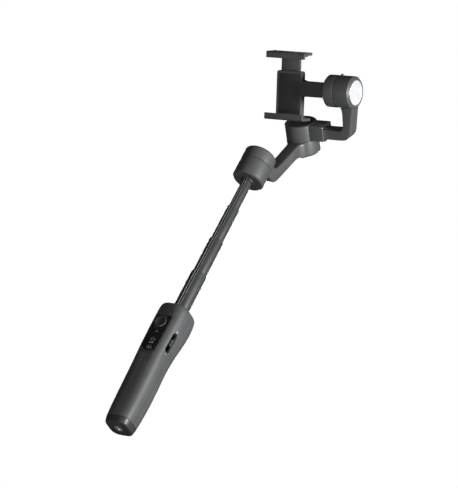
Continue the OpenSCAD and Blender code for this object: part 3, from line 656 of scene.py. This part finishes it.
def build_buttons():
    for name, mark in (("mode_button", "ring"), ("shutter_button", "dot")):
        where = front(middle_z(name))
        top, radius = -limits(name)[0].y, 3.6
        profile = [(0, top - 4.6), (1, top - 4.6), (1, top - 2.8), (4.4, top - 2.7),
                   (4.4, top - 2.0), (radius, top - 1.9), (radius, top), (radius - 0.8, top),
                   (0, top - 0.35)]
        finish_piece(name, turned(profile, 0.25, 64), where, name, BUTTON)
        if mark == "dot":
            bm = turned([(0, top - 0.5), (0.85, top - 0.45), (0.85, top - 0.22), (0, top - 0.18)],
                        0.08, 32)
        else:
            bm = tube_shape([(1.7, top - 0.4), (1.7, top - 0.14), (1.35, top - 0.16),
                             (1.35, top - 0.4)], 0.05, 48)
        finish_piece(name + "_mark", bm, where, name, MARK if mark == "dot" else BUSH)


def build_slider():
    """The zoom slider: a low ribbed key in its slot, with a mark at each end."""
    top = SLIDER_HIGH.x
    bm = prism(slot_outline(4.4, 10), 14.4, top - 0.5, 0.5)
    finish_piece("zoom_slider", bm, ON_SIDE, "zoom_slider", BUTTON)
    for i in range(3):
        z = 1.6 * (i - 1)
        rib = block((-1.7, -0.35 + z, top - 0.8), (1.7, 0.35 + z, top - 0.05), 0.25)
        finish_piece(f"zoom_rib_{i + 1}", rib, ON_SIDE, "zoom_slider", BUTTON)
    tub = side_slot(RECESS_W - 0.1, RECESS_L - 0.1, SLOT_FLOOR - 0.8, SLOT_FLOOR)
    rim = finish_piece("zoom_frame", tub, ON_SIDE, "handle", DARK)
    cut(rim, (side_slot(SLOT_W - 0.4, SLOT_L - 0.4, 10, 30), ON_SIDE))
    for name, z in (("plus", 15.4), ("minus", -15.4)):
        face = side_of_handle(SLIDER_Y, SLIDER_Z + z)
        bar = block((-1.1, z - 0.3, face - 0.8), (1.1, z + 0.3, face + 0.06), 0.08, 1)
        finish_piece(f"zoom_{name}_bar", bar, ON_SIDE, "handle", MARK)
        if name == "plus":
            post = block((-0.3, z - 1.1, face - 0.8), (0.3, z + 1.1, face + 0.05), 0.08, 1)
            finish_piece(f"zoom_{name}_post", post, ON_SIDE, "handle", MARK)


def build_trigger():
    pin = Vector(JOINTS["trigger_pull"]["pos_m"]) / MM
    low, high = TRIGGER_LOW, TRIGGER_HIGH
    outline = [(12.6, 131.4), (15.6, 132), (19.2, 131.8), (20.2, 130), (19.2, 122), (18.0, 114),
               (17.2, 111.6), (15.7, 111.6), (15.5, 118), (13.8, 127), (12.6, 128.6)]
    bm = prism(rounded(outline, 0.8), low.x, high.x, 0.6, axis="x")
    lever = finish_piece("trigger", bm, AT_HANDLE, "trigger", BUTTON)
    cut(lever, (cylinder(1.06, -20, 20, 32), place(pin * MM, (0, 1, 0), (1, 0, 0))))
    for i in range(5):
        z = 115 + 2.6 * i
        y = 18.05 + 0.125 * (z - 114)
        rib = block((-5, y - 0.5, z - 0.45), (5, y + 0.28, z + 0.45), 0.25)
        finish_piece(f"trigger_rib_{i + 1}", rib, AT_HANDLE, "trigger", DARK)


# ----- Telescopic stick -----

# The groove faces this many degrees from straight ahead
GROOVE_TURN = 9
GROOVE_W, GROOVE_D = 2.4, 0.35
# Pale material for the groove's edges: painted highlights, bright lines of reflected light along them
GROOVE_PAINTED_HIGHLIGHT = surface("painted_groove_highlight", grey(0.5), grey(0.6), (0.25, 0.35), metal=0.1,
                      grain=(1400, 0.1, 0.00003))


def build_stick():
    low, high = limits("stick_socket")
    bore = limits("stick_tube_1")[1].x + 0.08
    profile = [(bore + 0.35, low.z + 2), (high.x - 1.6, low.z), (high.x - 1.6, high.z - 3.4),
               (high.x, high.z - 3.3), (high.x, high.z - 0.9), (high.x - 0.9, high.z),
               (bore + 0.4, high.z), (bore, high.z - 0.5), (bore, high.z - 3),
               (bore + 0.35, high.z - 3.2)]
    finish_piece("stick_socket", tube_shape(profile, 0.25), AT_HANDLE, "handle", PLASTIC)
    bores = [limits(f"tube_bush_{i}")[1].x for i in (2, 3, 4)] + [0]
    for i in range(1, 5):
        name = f"stick_tube_{i}"
        low, high = limits(name)
        radius = (high.x - low.x) / 2
        inner = bores[i - 1] + 0.02 if i < 4 else radius - 0.7
        mouth = limits(f"stick_tube_{i + 1}")[1].x + 0.06 if i < 4 else inner
        bm = grooved_tube(radius, inner, mouth, low.z, high.z)
        tube = finish_piece(name, bm, AT_HANDLE, f"stick_{i}", TUBE, angle=25)
        # The second material paints highlights along the groove's edges
        tube.data.materials.append(GROOVE_PAINTED_HIGHLIGHT)
        # The third material, dark plastic, paints shade inside the groove
        tube.data.materials.append(DARK)


def grooved_tube(radius, inner, mouth, low, high):
    """A tube with a groove along its front, a rolled mouth and softened rims; pale paint on the groove's edges is
    a painted highlight, and dark plastic inside it is painted shade.
    """
    half = math.degrees(math.asin(GROOVE_W / 2 / radius))
    edge = 3.0
    middle = 270 + GROOVE_TURN

    def ring(r, z, depth):
        points = [(r * math.cos(math.radians(a)), r * math.sin(math.radians(a)))
                  for a in steps_between(middle - 360 + half + edge, middle - half - edge, 4)]
        walls = []
        for a, d in ((middle - half, 0.08), (middle - half + edge, depth * 0.9),
                     (middle - half + 2 * edge, depth), (middle, depth),
                     (middle + half - 2 * edge, depth), (middle + half - edge, depth * 0.9),
                     (middle + half, 0.08)):
            t = math.radians(a)
            walls.append(((r - d) * math.cos(t), (r - d) * math.sin(t)))
        return [(x, y, z) for x, y in points + walls]

    profile = [(inner, low, 0), (radius - 0.15, low, GROOVE_D), (radius, low + 0.2, GROOVE_D),
               (radius, high - 0.6, GROOVE_D), (radius - 0.12, high - 0.2, GROOVE_D),
               (radius - 0.4, high, GROOVE_D * 0.4), (mouth + 0.15, high, 0),
               (mouth, high - 0.2, 0), (mouth, high - 2.8, 0), (inner, high - 3.0, 0)]
    bm = bmesh.new()
    rings = [ring(r, z, d) for r, z, d in profile]
    loft(bm, rings + [rings[0]], caps=False)
    for face in bm.faces:
        at = face.calc_center_median()
        turn = (math.degrees(math.atan2(at.y, at.x)) - middle + 540) % 360 - 180
        outside = math.hypot(at.x, at.y) > inner + 0.3
        # Faces along the groove's edges take the painted highlight
        if outside and half - edge * 0.2 < abs(turn) < half + edge:
            face.material_index = 1
        # Faces inside the groove take dark plastic as painted shade
        elif outside and abs(turn) < half:
            face.material_index = 2
    return bm


def build_stick_head():
    low, high = limits("stick_head", AT_PAN)
    r = limits("stick_tube_4")[1].x
    profile = [(r + 0.02, -2), (high.x - 1.2, -2), (high.x, -0.05), (r + 0.02, -0.05)]
    bm = tube_shape(profile, 0.4)
    lathe(bm, [(3.4, low.z), (r - 0.75, low.z), (r - 0.75, -0.05), (3.4, -0.05), (3.4, low.z)])
    finish_piece("stick_head", bm, AT_PAN, "stick_4", DARK)


# ----- Motor housings and arms -----

MOTOR_R, HOUSING_TOP = limits("pan_housing", AT_PAN)[1].xz
CAP_TOP = limits("pan_cover", AT_PAN)[1].z
# Radius of the rotors' open ends, and of the boss round a motor's bearings
BELL_R, BOSS_R = 17.0, 7.6
# Radius and depth of the recess for an end disc or cover
RECESS = (14.7, 1.2)
# The straight part of the cross arm, in the roll frame
BAR_LOW, BAR_HIGH = Vector((-7.0, -8.25, -59.3)), Vector((62.0, 8.25, -47.5))


def housing_profile(radius, height, low_chamfer, recess=None):
    """Outline of a motor's cup: rounded lower edge, a thin lip at the split and a deep bore.

    A recess of some radius and depth under the cup takes an end disc or cover.
    """
    floor, bore, wall_r, boss_top = 2.0, 4.6, radius - 1.6, height - 1.6
    start = [(bore, floor)]
    if recess:
        start += [(bore, recess[1]), recess, (recess[0], 0)]
    else:
        start += [(bore, 0)]
    return start + [(radius - low_chamfer, 0), (radius, low_chamfer), (radius, height - 0.35),
                    (radius - 0.35, height), (wall_r, height), (wall_r, floor), (BOSS_R, floor),
                    (BOSS_R, boss_top), (6.0, boss_top), (6.0, floor)]


def motor_space(height):
    """A new mesh: the room round a cup's boss, which clears what a union has left in it."""
    bm = bmesh.new()
    inner, outer, low, high = 7.7, MOTOR_R - 1.65, 2.1, height + 0.1
    lathe(bm, [(inner, low), (outer, low), (outer, high), (inner, high), (inner, low)])
    return bm


def cap_profile(radius, low, high, chamfer):
    """Outline of the pan cap: sharp lower lip, rounded upper edge, ledge and bell's pocket."""
    bore, ledge_r, ledge_z = 10.0, 15.4, high - 1.3
    return [(BELL_R, low), (radius - 0.35, low), (radius, low + 0.35), (radius, high - chamfer),
            (radius - chamfer, high), (ledge_r, high), (ledge_r, ledge_z), (bore, ledge_z),
            (bore, low + 2), (BELL_R, low + 2)]


def build_pan_motor():
    bm = tube_shape(housing_profile(MOTOR_R, HOUSING_TOP, 1.6), 0.6, 128)
    finish_piece("pan_housing", bm, AT_PAN, "stick_4", CASTING)
    r, z = limits("pan_cover", AT_PAN)[1].x - 0.1, CAP_TOP
    profile = [(0, z - 1.3), (r, z - 1.3), (r, z - 0.3), (r - 0.5, z), (4, z), (3.4, z - 0.3),
               (0, z - 0.3)]
    finish_piece("pan_cover", turned(profile, 0.25, 128), AT_PAN, "pan", PLASTIC)


# Upper and lower outline points (y, z) of the pan arm, in pairs along it
ARM_PAIRS = [((16, 39), (16, 24.3)), ((21, 39.2), (24, 24.3)), ((25, 39.9), (30.6, 24.3)),
             ((27.4, 41.8), (35.6, 26.8)), ((29.2, 45.2), (38.6, 31.2)),
             ((31.2, 50.4), (41.2, 38.4)), ((34, 58.2), (44.6, 48.6)),
             ((36.6, 65.6), (47.4, 56.6)), ((38.8, 72.8), (50, 64.6)),
             ((40.8, 79.4), (52.4, 71.6)), ((42.2, 84), (54.6, 77)), ((43.6, 88), (57.6, 80.6)),
             ((45.2, 91.6), (61, 82.6)), ((47.8, 95.6), (64.2, 87.4))]
ARM_HALF = 8.5
FLARE = 14.0


def rounded_section(a, b, half, corner, place_point):
    """A closed ring round the band between two outline points, half wide to each side."""
    a, b = Vector(a), Vector(b)
    along = b - a
    corner = min(corner, along.length / 2.2, half / 1.2)
    outline = rounded([(-half, 0), (half, 0), (half, along.length), (-half, along.length)], corner,
                      steps=5)
    unit = along.normalized()
    return [place_point(x, a + unit * t) for x, t in outline]


def arm_half_width(point, axes_h):
    """Half width of the pan arm at a side-view point: it flares out into the roll housing."""
    down = -(point[0] * 0.5 + (point[1] - axes_h) * math.sqrt(0.75))
    centre_x = ARM_HALF + FLARE
    centre_y = math.sqrt((MOTOR_R + FLARE) ** 2 - centre_x ** 2)
    if down >= centre_y:
        return ARM_HALF
    reach = max(FLARE ** 2 - (centre_y - down) ** 2, 0)
    return min(centre_x - math.sqrt(reach), MOTOR_R * centre_x / (MOTOR_R + FLARE))


def build_pan_arm():
    axes_h = (AXES_POINT.z - JOINTS["pan_turn"]["pos_m"][2]) / MM
    cap_low = HOUSING_TOP + 0.4
    bm = tube_shape(cap_profile(MOTOR_R, cap_low, CAP_TOP - 0.2, 1.6), 0.6, 128)
    arm = finish_piece("pan_arm", bm, AT_PAN, "pan", CASTING)
    bar = bmesh.new()
    rings = []
    for a, b in ARM_PAIRS:
        middle = ((a[0] + b[0]) / 2, (a[1] + b[1]) / 2)
        half = arm_half_width(middle, axes_h)
        rings.append(rounded_section(a, b, half, 2.6, lambda x, p: (x, p.x, p.y)))
    loft(bar, rings)
    bmesh.ops.recalc_face_normals(bar, faces=bar.faces)
    cup_h = 18.7
    cup = tube_shape(housing_profile(MOTOR_R, cup_h, 2.2, RECESS), 0.7, 128)
    at_cup = AT_AXES @ Matrix.Translation((0, 0, limits("roll_cover", AT_AXES)[0].z + 0.2))
    join(arm, (bar, AT_PAN), (cup, at_cup))
    cut(arm, (motor_space(cup_h), at_cup))
    cut(arm, (cylinder(BELL_R - 0.1, cap_low - 0.1, cap_low + 2, 96), AT_PAN))
    r = RECESS[0] - 0.2
    profile = [(0, 1.1), (r, 1.1), (r, 0.3), (r - 0.5, -0.15), (4, -0.15), (3.4, 0.1), (0, 0.1)]
    finish_piece("roll_cover", turned(profile, 0.25, 128), at_cup, "pan", PLASTIC)


def build_roll_head():
    """The round head with its rectangular sleeve, as one casting."""
    low, high = limits("roll_head", AT_ROLL)
    cover_high = limits("roll_head_cover", AT_ROLL)[1]
    top, bottom, cover_r = high.z, low.z, cover_high.x
    profile = [(BELL_R, bottom), (MOTOR_R - 0.35, bottom), (MOTOR_R, bottom + 0.35),
               (MOTOR_R, top - 1.1), (MOTOR_R - 1.1, top), (cover_r + 0.1, top),
               (cover_r + 0.1, top - 1.2), (6, top - 1.2), (6, bottom + 2), (BELL_R, bottom + 2)]
    head = finish_piece("roll_head", tube_shape(profile, 0.5, 128), AT_ROLL, "roll", CASTING)
    rim_low, rim_high = limits("sleeve_rim", AT_ROLL)
    section = rectangle((rim_low.y, rim_low.z), (rim_high.y, rim_high.z), 2.4)
    join(head, (prism(section, 2, rim_low.x, 0.15, axis="x"), AT_ROLL))
    gap = 0.15
    passage = block((BAR_LOW.x - 9, BAR_LOW.y - gap, BAR_LOW.z - gap),
                    (60, BAR_HIGH.y + gap, BAR_HIGH.z + gap), 0.9)
    cut(head, (passage, AT_ROLL))
    low, high = limits("arm_lock_screw", AT_ROLL)
    screw = Matrix.Translation(((low.x + high.x) / 2, 0, (low.z + high.z) / 2))
    across = AT_ROLL @ screw @ Matrix.Rotation(-math.pi / 2, 4, "X")
    cut(head, (cylinder(1.75, 0, 30, 32), across))
    r, z = cover_r - 0.1, cover_high.z
    profile = [(0, z - 1.15), (r, z - 1.15), (r, z - 0.25), (r - 0.25, z), (r - 0.7, z),
               (r - 1.0, z - 0.25), (0, z - 0.25)]
    finish_piece("roll_head_cover", turned(profile, 0.15, 128), AT_ROLL, "roll", DARK)
    rim = prism(section, rim_low.x + 0.02, rim_high.x, 0.2, axis="x")
    trim = finish_piece("sleeve_rim", rim, AT_ROLL, "roll", BRIGHT)
    opening = block((0, BAR_LOW.y - gap - 0.1, BAR_LOW.z - gap - 0.1),
                    (60, BAR_HIGH.y + gap + 0.1, BAR_HIGH.z + gap + 0.1), 0.9)
    cut(trim, (opening, AT_ROLL))
    build_lock_screw(across, high.y)


def build_lock_screw(across, top):
    """The knurled screw that holds the cross arm in its sleeve."""
    knob = turned([(0, top - 7.6), (1.65, top - 7.6), (1.65, top - 3.6), (4.2, top - 3.6),
                   (4.7, top - 3.2), (4.7, top - 0.6), (4.2, top), (2.0, top), (1.8, top - 0.5),
                   (0, top - 0.5)], 0.2, 64)
    for v in knob.verts:
        r = math.hypot(v.co.x, v.co.y)
        if r > 4.4:
            swell = 1 + 0.02 * math.cos(16 * math.atan2(v.co.y, v.co.x))
            v.co.x *= swell
            v.co.y *= swell
    finish_piece("arm_lock_screw", knob, across, "roll", BUTTON, angle=50)


# Outer and inner outline points of the cross arm, in pairs along it
CROSS_PAIRS = [((-7, -59.3), (-7, -47.5)), ((20, -59.3), (20, -47.5)), ((46, -59.3), (46, -47.5)),
               ((54, -59.3), (52.6, -47.5)), ((59.4, -59.2), (55.4, -47.1)),
               ((63.4, -58.2), (57.8, -46.2)), ((67, -55.6), (59.6, -44.6)),
               ((69.6, -52), (60.8, -42.4)), ((71, -48), (61.4, -40)),
               ((72.6, -40), (61.9, -34)), ((74.4, -32), (62.3, -28)), ((75.9, -25), (62.6, -23.4)),
               ((77.4, -19.6), (62.2, -20)), ((78.4, -15), (61.2, -17.4)), ((78.4, -11), (61, -12))]


def build_cross_arm():
    at_motor = ALONG_TILT @ Matrix.Translation((0, 0, limits("cross_arm", ALONG_TILT)[0].z))
    depth = 21.8
    profile = housing_profile(MOTOR_R, depth, 2.5, RECESS)
    arm = finish_piece("cross_arm", tube_shape(profile, 0.6, 128), at_motor, "cross_arm", CASTING)
    half = (BAR_HIGH.y - BAR_LOW.y) / 2
    bar = bmesh.new()
    rings = [rounded_section(a, b, half, 1.6, lambda y, p: (p.x, y, p.y)) for a, b in CROSS_PAIRS]
    loft(bar, rings)
    lug = block((59.65, -1.5, MOTOR_R - 1.0), (61.95, 1.5, MOTOR_R + 1.65), 0.6)
    lug_turn = Matrix.Rotation(math.radians(-23), 4, "X")
    join(arm, (bar, AT_ROLL), (lug, AT_ROLL @ lug_turn))
    cut(arm, (motor_space(depth), at_motor))
    disc = [(0, 1.1), (14.6, 1.1), (14.6, 0.2), (14.1, -0.28), (12.6, -0.28), (0, -0.1)]
    finish_piece("tilt_end_disc", turned(disc, 0.2, 128), at_motor, "cross_arm", SPUN)


def build_tilt_cap():
    low, high = limits("tilt_cap", ALONG_TILT_CAP)
    outside = [(BELL_R, low.z), (MOTOR_R - 0.35, low.z), (MOTOR_R, low.z + 0.35),
               (MOTOR_R, high.z - 1.7), (MOTOR_R - 1.7, high.z), (0, high.z)]
    inside = [(0, high.z - 2), (15, high.z - 2), (15, low.z + 2), (BELL_R, low.z + 2),
              (BELL_R, low.z)]
    bm = bmesh.new()
    lathe(bm, rounded(outside, 0.7, closed=False), 128)
    lathe(bm, rounded(inside, 0.2, closed=False), 128)
    finish_piece("tilt_cap", bm, ALONG_TILT_CAP, "clamp", CASTING)


# ----- Phone clamp -----
# In the tilt frame X runs across the clamp, -Y ahead of it and Z from the lower to the upper jaw.

CLAMP_FRONT, CLAMP_BACK = -3.0, 5.5


def add_jaw(piece, name, inward, slot_z, pad_name):
    """Adds the shelf and lip of a jaw: the lower for inward = 1, the upper for inward = -1."""
    pad_low, pad_high = limits(pad_name, AT_TILT)
    left, right = pad_low.x - 1.5, pad_high.x + 1.5
    ahead = limits(name, AT_TILT)[0].y
    pad_seat, thickness, lip_height, lip_depth = 1.2, 3.4, 3.0, 2.3
    outer = slot_z - inward * (pad_seat + thickness)
    shelf_z = sorted((outer, slot_z - inward * pad_seat))
    lip_z = sorted((outer, slot_z + inward * lip_height))
    shelf = rectangle((left, ahead), (right, CLAMP_BACK), [3.2, 3.2, 1.5, 1.5])
    lip = rectangle((left, ahead), (right, ahead + lip_depth), [2.2, 2.2, 0.05, 0.05])
    slope, over = 1.7, 0.5
    edge = [(ahead - over, outer + inward * (slope + over)), (ahead - over, outer - inward * over),
            (ahead + slope + over, outer - inward * over)]
    join(piece, (prism(shelf, *shelf_z, 0.35), AT_TILT), (prism(lip, *lip_z, 0.55), AT_TILT))
    cut(piece, (prism(edge, left - 1, right + 1, 0, axis="x"), AT_TILT))


def build_clamp():
    pad_low, pad_high = limits("lower_jaw_pad", AT_TILT)
    up_low, up_high = limits("upper_jaw_pad", AT_TILT)
    cover_low, cover_high = limits("clamp_cover", AT_TILT)
    face = limits("tilt_cap", AT_TILT)[0].x
    body_x = (cover_low.x - 3, cover_high.x + 3)
    body_top = cover_high.z + 3

    plate = prism(rectangle((body_x[0], pad_low.z - 0.5), (body_x[1], body_top), [1, 1, 3, 3]),
                  CLAMP_FRONT, CLAMP_BACK, 0.9, axis="y")
    clamp = finish_piece("clamp_body", plate, AT_TILT, "clamp", PLASTIC)
    add_jaw(clamp, "clamp_body", 1, pad_high.z, "lower_jaw_pad")
    outline = rounded([(body_x[1] - 3, -11), (body_x[1] + 5, -9), (face - 1.4, -9), (face - 1.4, 9),
                       (body_x[1] + 5, 9), (body_x[1] - 3, 11)], [0, 4, 0, 0, 4, 0], steps=6)
    join(clamp, (prism(outline, CLAMP_FRONT, CLAMP_BACK, 0.9, axis="y"), AT_TILT))
    flange = turned([(0, 0), (11.9, 0), (11.9, 1.6), (0, 1.6)])
    at_face = place(AXES_POINT + TILT_AXIS * (face - 1.62) * MM, JAW_AXIS, TILT_AXIS)
    join(clamp, (flange, at_face))
    tongue_low = limits("upper_jaw", AT_TILT)[0]
    centre = (pad_low.x + pad_high.x) / 2
    tongue_half, rod_away = 12.8, 7.5
    tongue_x = (centre - tongue_half, centre + tongue_half)
    cut(clamp, (block((tongue_x[0], -1, -27), (tongue_x[1], 3.4, body_top + 5), 0.2), AT_TILT))
    cut(clamp, (block((cover_low.x, -6, cover_low.z), (cover_high.x, -0.95, cover_high.z), 0.3),
                AT_TILT))
    soften(clamp, 0.25, angle=50)

    cover = prism(rectangle((cover_low.x + 0.1, cover_low.z + 0.1),
                            (cover_high.x - 0.1, cover_high.z - 0.1), 1.2, steps=5),
                  CLAMP_FRONT, -1.02, 0.35, axis="y")
    finish_piece("clamp_cover", cover, AT_TILT, "clamp", DARK)

    tongue = block((tongue_x[0] + 0.3, -0.7, tongue_low.z),
                   (tongue_x[1] - 0.3, 3.1, up_low.z + 2), 0.5)
    jaw = finish_piece("upper_jaw", tongue, AT_TILT, "upper_jaw", PLASTIC)
    back_plate = rectangle((body_x[0] + 2, up_low.z - 3.5), (body_x[1] - 2, up_high.z + 1),
                           [2.5, 2.5, 0.5, 0.5])
    join(jaw, (prism(back_plate, CLAMP_FRONT, CLAMP_BACK, 0.8, axis="y"), AT_TILT))
    add_jaw(jaw, "upper_jaw", -1, up_low.z, "upper_jaw_pad")
    for side in (-1, 1):
        hole = AT_TILT @ Matrix.Translation((centre + side * rod_away, 1.2, 0))
        cut(jaw, (cylinder(1.36, tongue_low.z - 2, 31, 32), hole))
    soften(jaw, 0.25, angle=50)

    build_pad("lower_jaw_pad", "clamp", pad_low, pad_high, 1)
    build_pad("upper_jaw_pad", "upper_jaw", up_low, up_high, -1)


def build_pad(name, body, low, high, inward):
    """A rubber pad with raised ribs along it."""
    bm = bmesh.new()
    count = 5
    pitch = (high.y - low.y - 0.4) / count
    base = low.z + 0.01 if inward > 0 else high.z - 0.01
    face = high.z if inward > 0 else low.z
    valley = face - inward * 0.35
    outline = [(low.y + 0.1, base)]
    for i in range(count):
        y = low.y + 0.2 + i * pitch
        outline += [(y + pitch * 0.08, valley), (y + pitch * 0.28, face), (y + pitch * 0.72, face),
                    (y + pitch * 0.92, valley)]
    outline += [(high.y - 0.1, base)]
    loft(bm, [[(x, y, z) for y, z in outline] for x in (low.x, high.x)])
    finish_piece(name, bm, AT_TILT, body, RUBBER, angle=60)


# ----- Camera, light and floor -----

VIEW_HEIGHT = 0.5731
CAMERA_DISTANCE = 4.5
CAMERA_RIGHT = Vector((0.8223, 0.3898, 0.4106)).normalized()
CAMERA_BACK = Vector((0.555, -0.698, -0.449)).normalized()
AXES_RIGHT_OF_MIDDLE = 0.0787
AXES_ABOVE_MIDDLE = 0.183
FLOOR_Z = -2.4


def build_camera():
    right = (CAMERA_RIGHT - CAMERA_BACK * CAMERA_RIGHT.dot(CAMERA_BACK)).normalized()
    up = CAMERA_BACK.cross(right)
    data = bpy.data.cameras.new("camera")
    data.sensor_width = 36.0
    data.lens = data.sensor_width * CAMERA_DISTANCE / VIEW_HEIGHT
    data.clip_start, data.clip_end = 0.1, 100.0
    camera = add_object("camera", data)
    middle = AXES_POINT - right * AXES_RIGHT_OF_MIDDLE - up * AXES_ABOVE_MIDDLE
    turn = Matrix((right, up, CAMERA_BACK)).transposed().to_4x4()
    camera.matrix_world = Matrix.Translation(middle + CAMERA_BACK * CAMERA_DISTANCE) @ turn
    bpy.context.scene.camera = camera
    return right, up


def softbox(name, aim, direction, distance, size, power):
    """A soft light that shines at a point from a direction."""
    data = bpy.data.lights.new(name, "AREA")
    data.shape, data.size, data.energy = "DISK", size, power
    light = add_object(name, data)
    direction = Vector(direction).normalized()
    light.matrix_world = Matrix.Translation(aim + direction * distance) @ (
        direction.to_track_quat("Z", "Y").to_matrix().to_4x4())


def build_studio(right, up):
    middle = (CAD_LOW + CAD_HIGH) / 2
    softbox("key_light", middle, (0.93, -0.12, 0.03), 1.7, 0.6, 66)
    softbox("front_light", middle, CAMERA_BACK - right * 0.4 + up * 0.15, 2.4, 1.2, 10)
    softbox("back_light", middle, -CAMERA_BACK, 2.4, 1.2, 45)
    world = bpy.data.worlds.new("studio")
    bpy.context.scene.world = world
    world.use_nodes = True
    tree = world.node_tree
    background = tree.nodes["Background"]
    path = add_node(tree, "LightPath")
    level = add_node(tree, "MapRange", to_min=0.05, to_max=1.0)
    tree.links.new(path.outputs["Is Camera Ray"], level.inputs["Value"])
    tree.links.new(level.outputs["Result"], background.inputs["Strength"])
    background.inputs["Color"].default_value = (1, 1, 1, 1)
    bm = bmesh.new()
    bmesh.ops.create_grid(bm, x_segments=1, y_segments=1, size=40)
    mesh = bpy.data.meshes.new("floor")
    bm.to_mesh(mesh)
    bm.free()
    floor = add_object("floor", mesh)
    floor.location.z = FLOOR_Z
    material, tree, shader = new_material("pale_floor")
    shader.inputs["Base Color"].default_value = (0.9, 0.9, 0.9, 1)
    shader.inputs["Roughness"].default_value = 0.9
    shader.inputs["Emission Color"].default_value = (1, 1, 1, 1)
    path = add_node(tree, "LightPath")
    tree.links.new(path.outputs["Is Camera Ray"], shader.inputs["Emission Strength"])
    mesh.materials.append(material)
    bpy.context.scene.view_settings.view_transform = "Standard"


# ----- Assembly -----

def dress_cad_nodes():
    """Gives every CAD node the material of its slot."""
    for node, obj in frame["nodes"].items():
        material = CAD_MATERIALS[SLOTS[node]]
        if not obj.material_slots:
            obj.data.materials.append(material)
        for slot in obj.material_slots:
            slot.material = material


dress_cad_nodes()
build_handle()
build_base()
build_panel()
build_joystick()
build_buttons()
build_slider()
build_trigger()
build_stick()
build_stick_head()
build_pan_motor()
build_pan_arm()
build_roll_head()
build_cross_arm()
build_tilt_cap()
build_clamp()
build_studio(*build_camera())
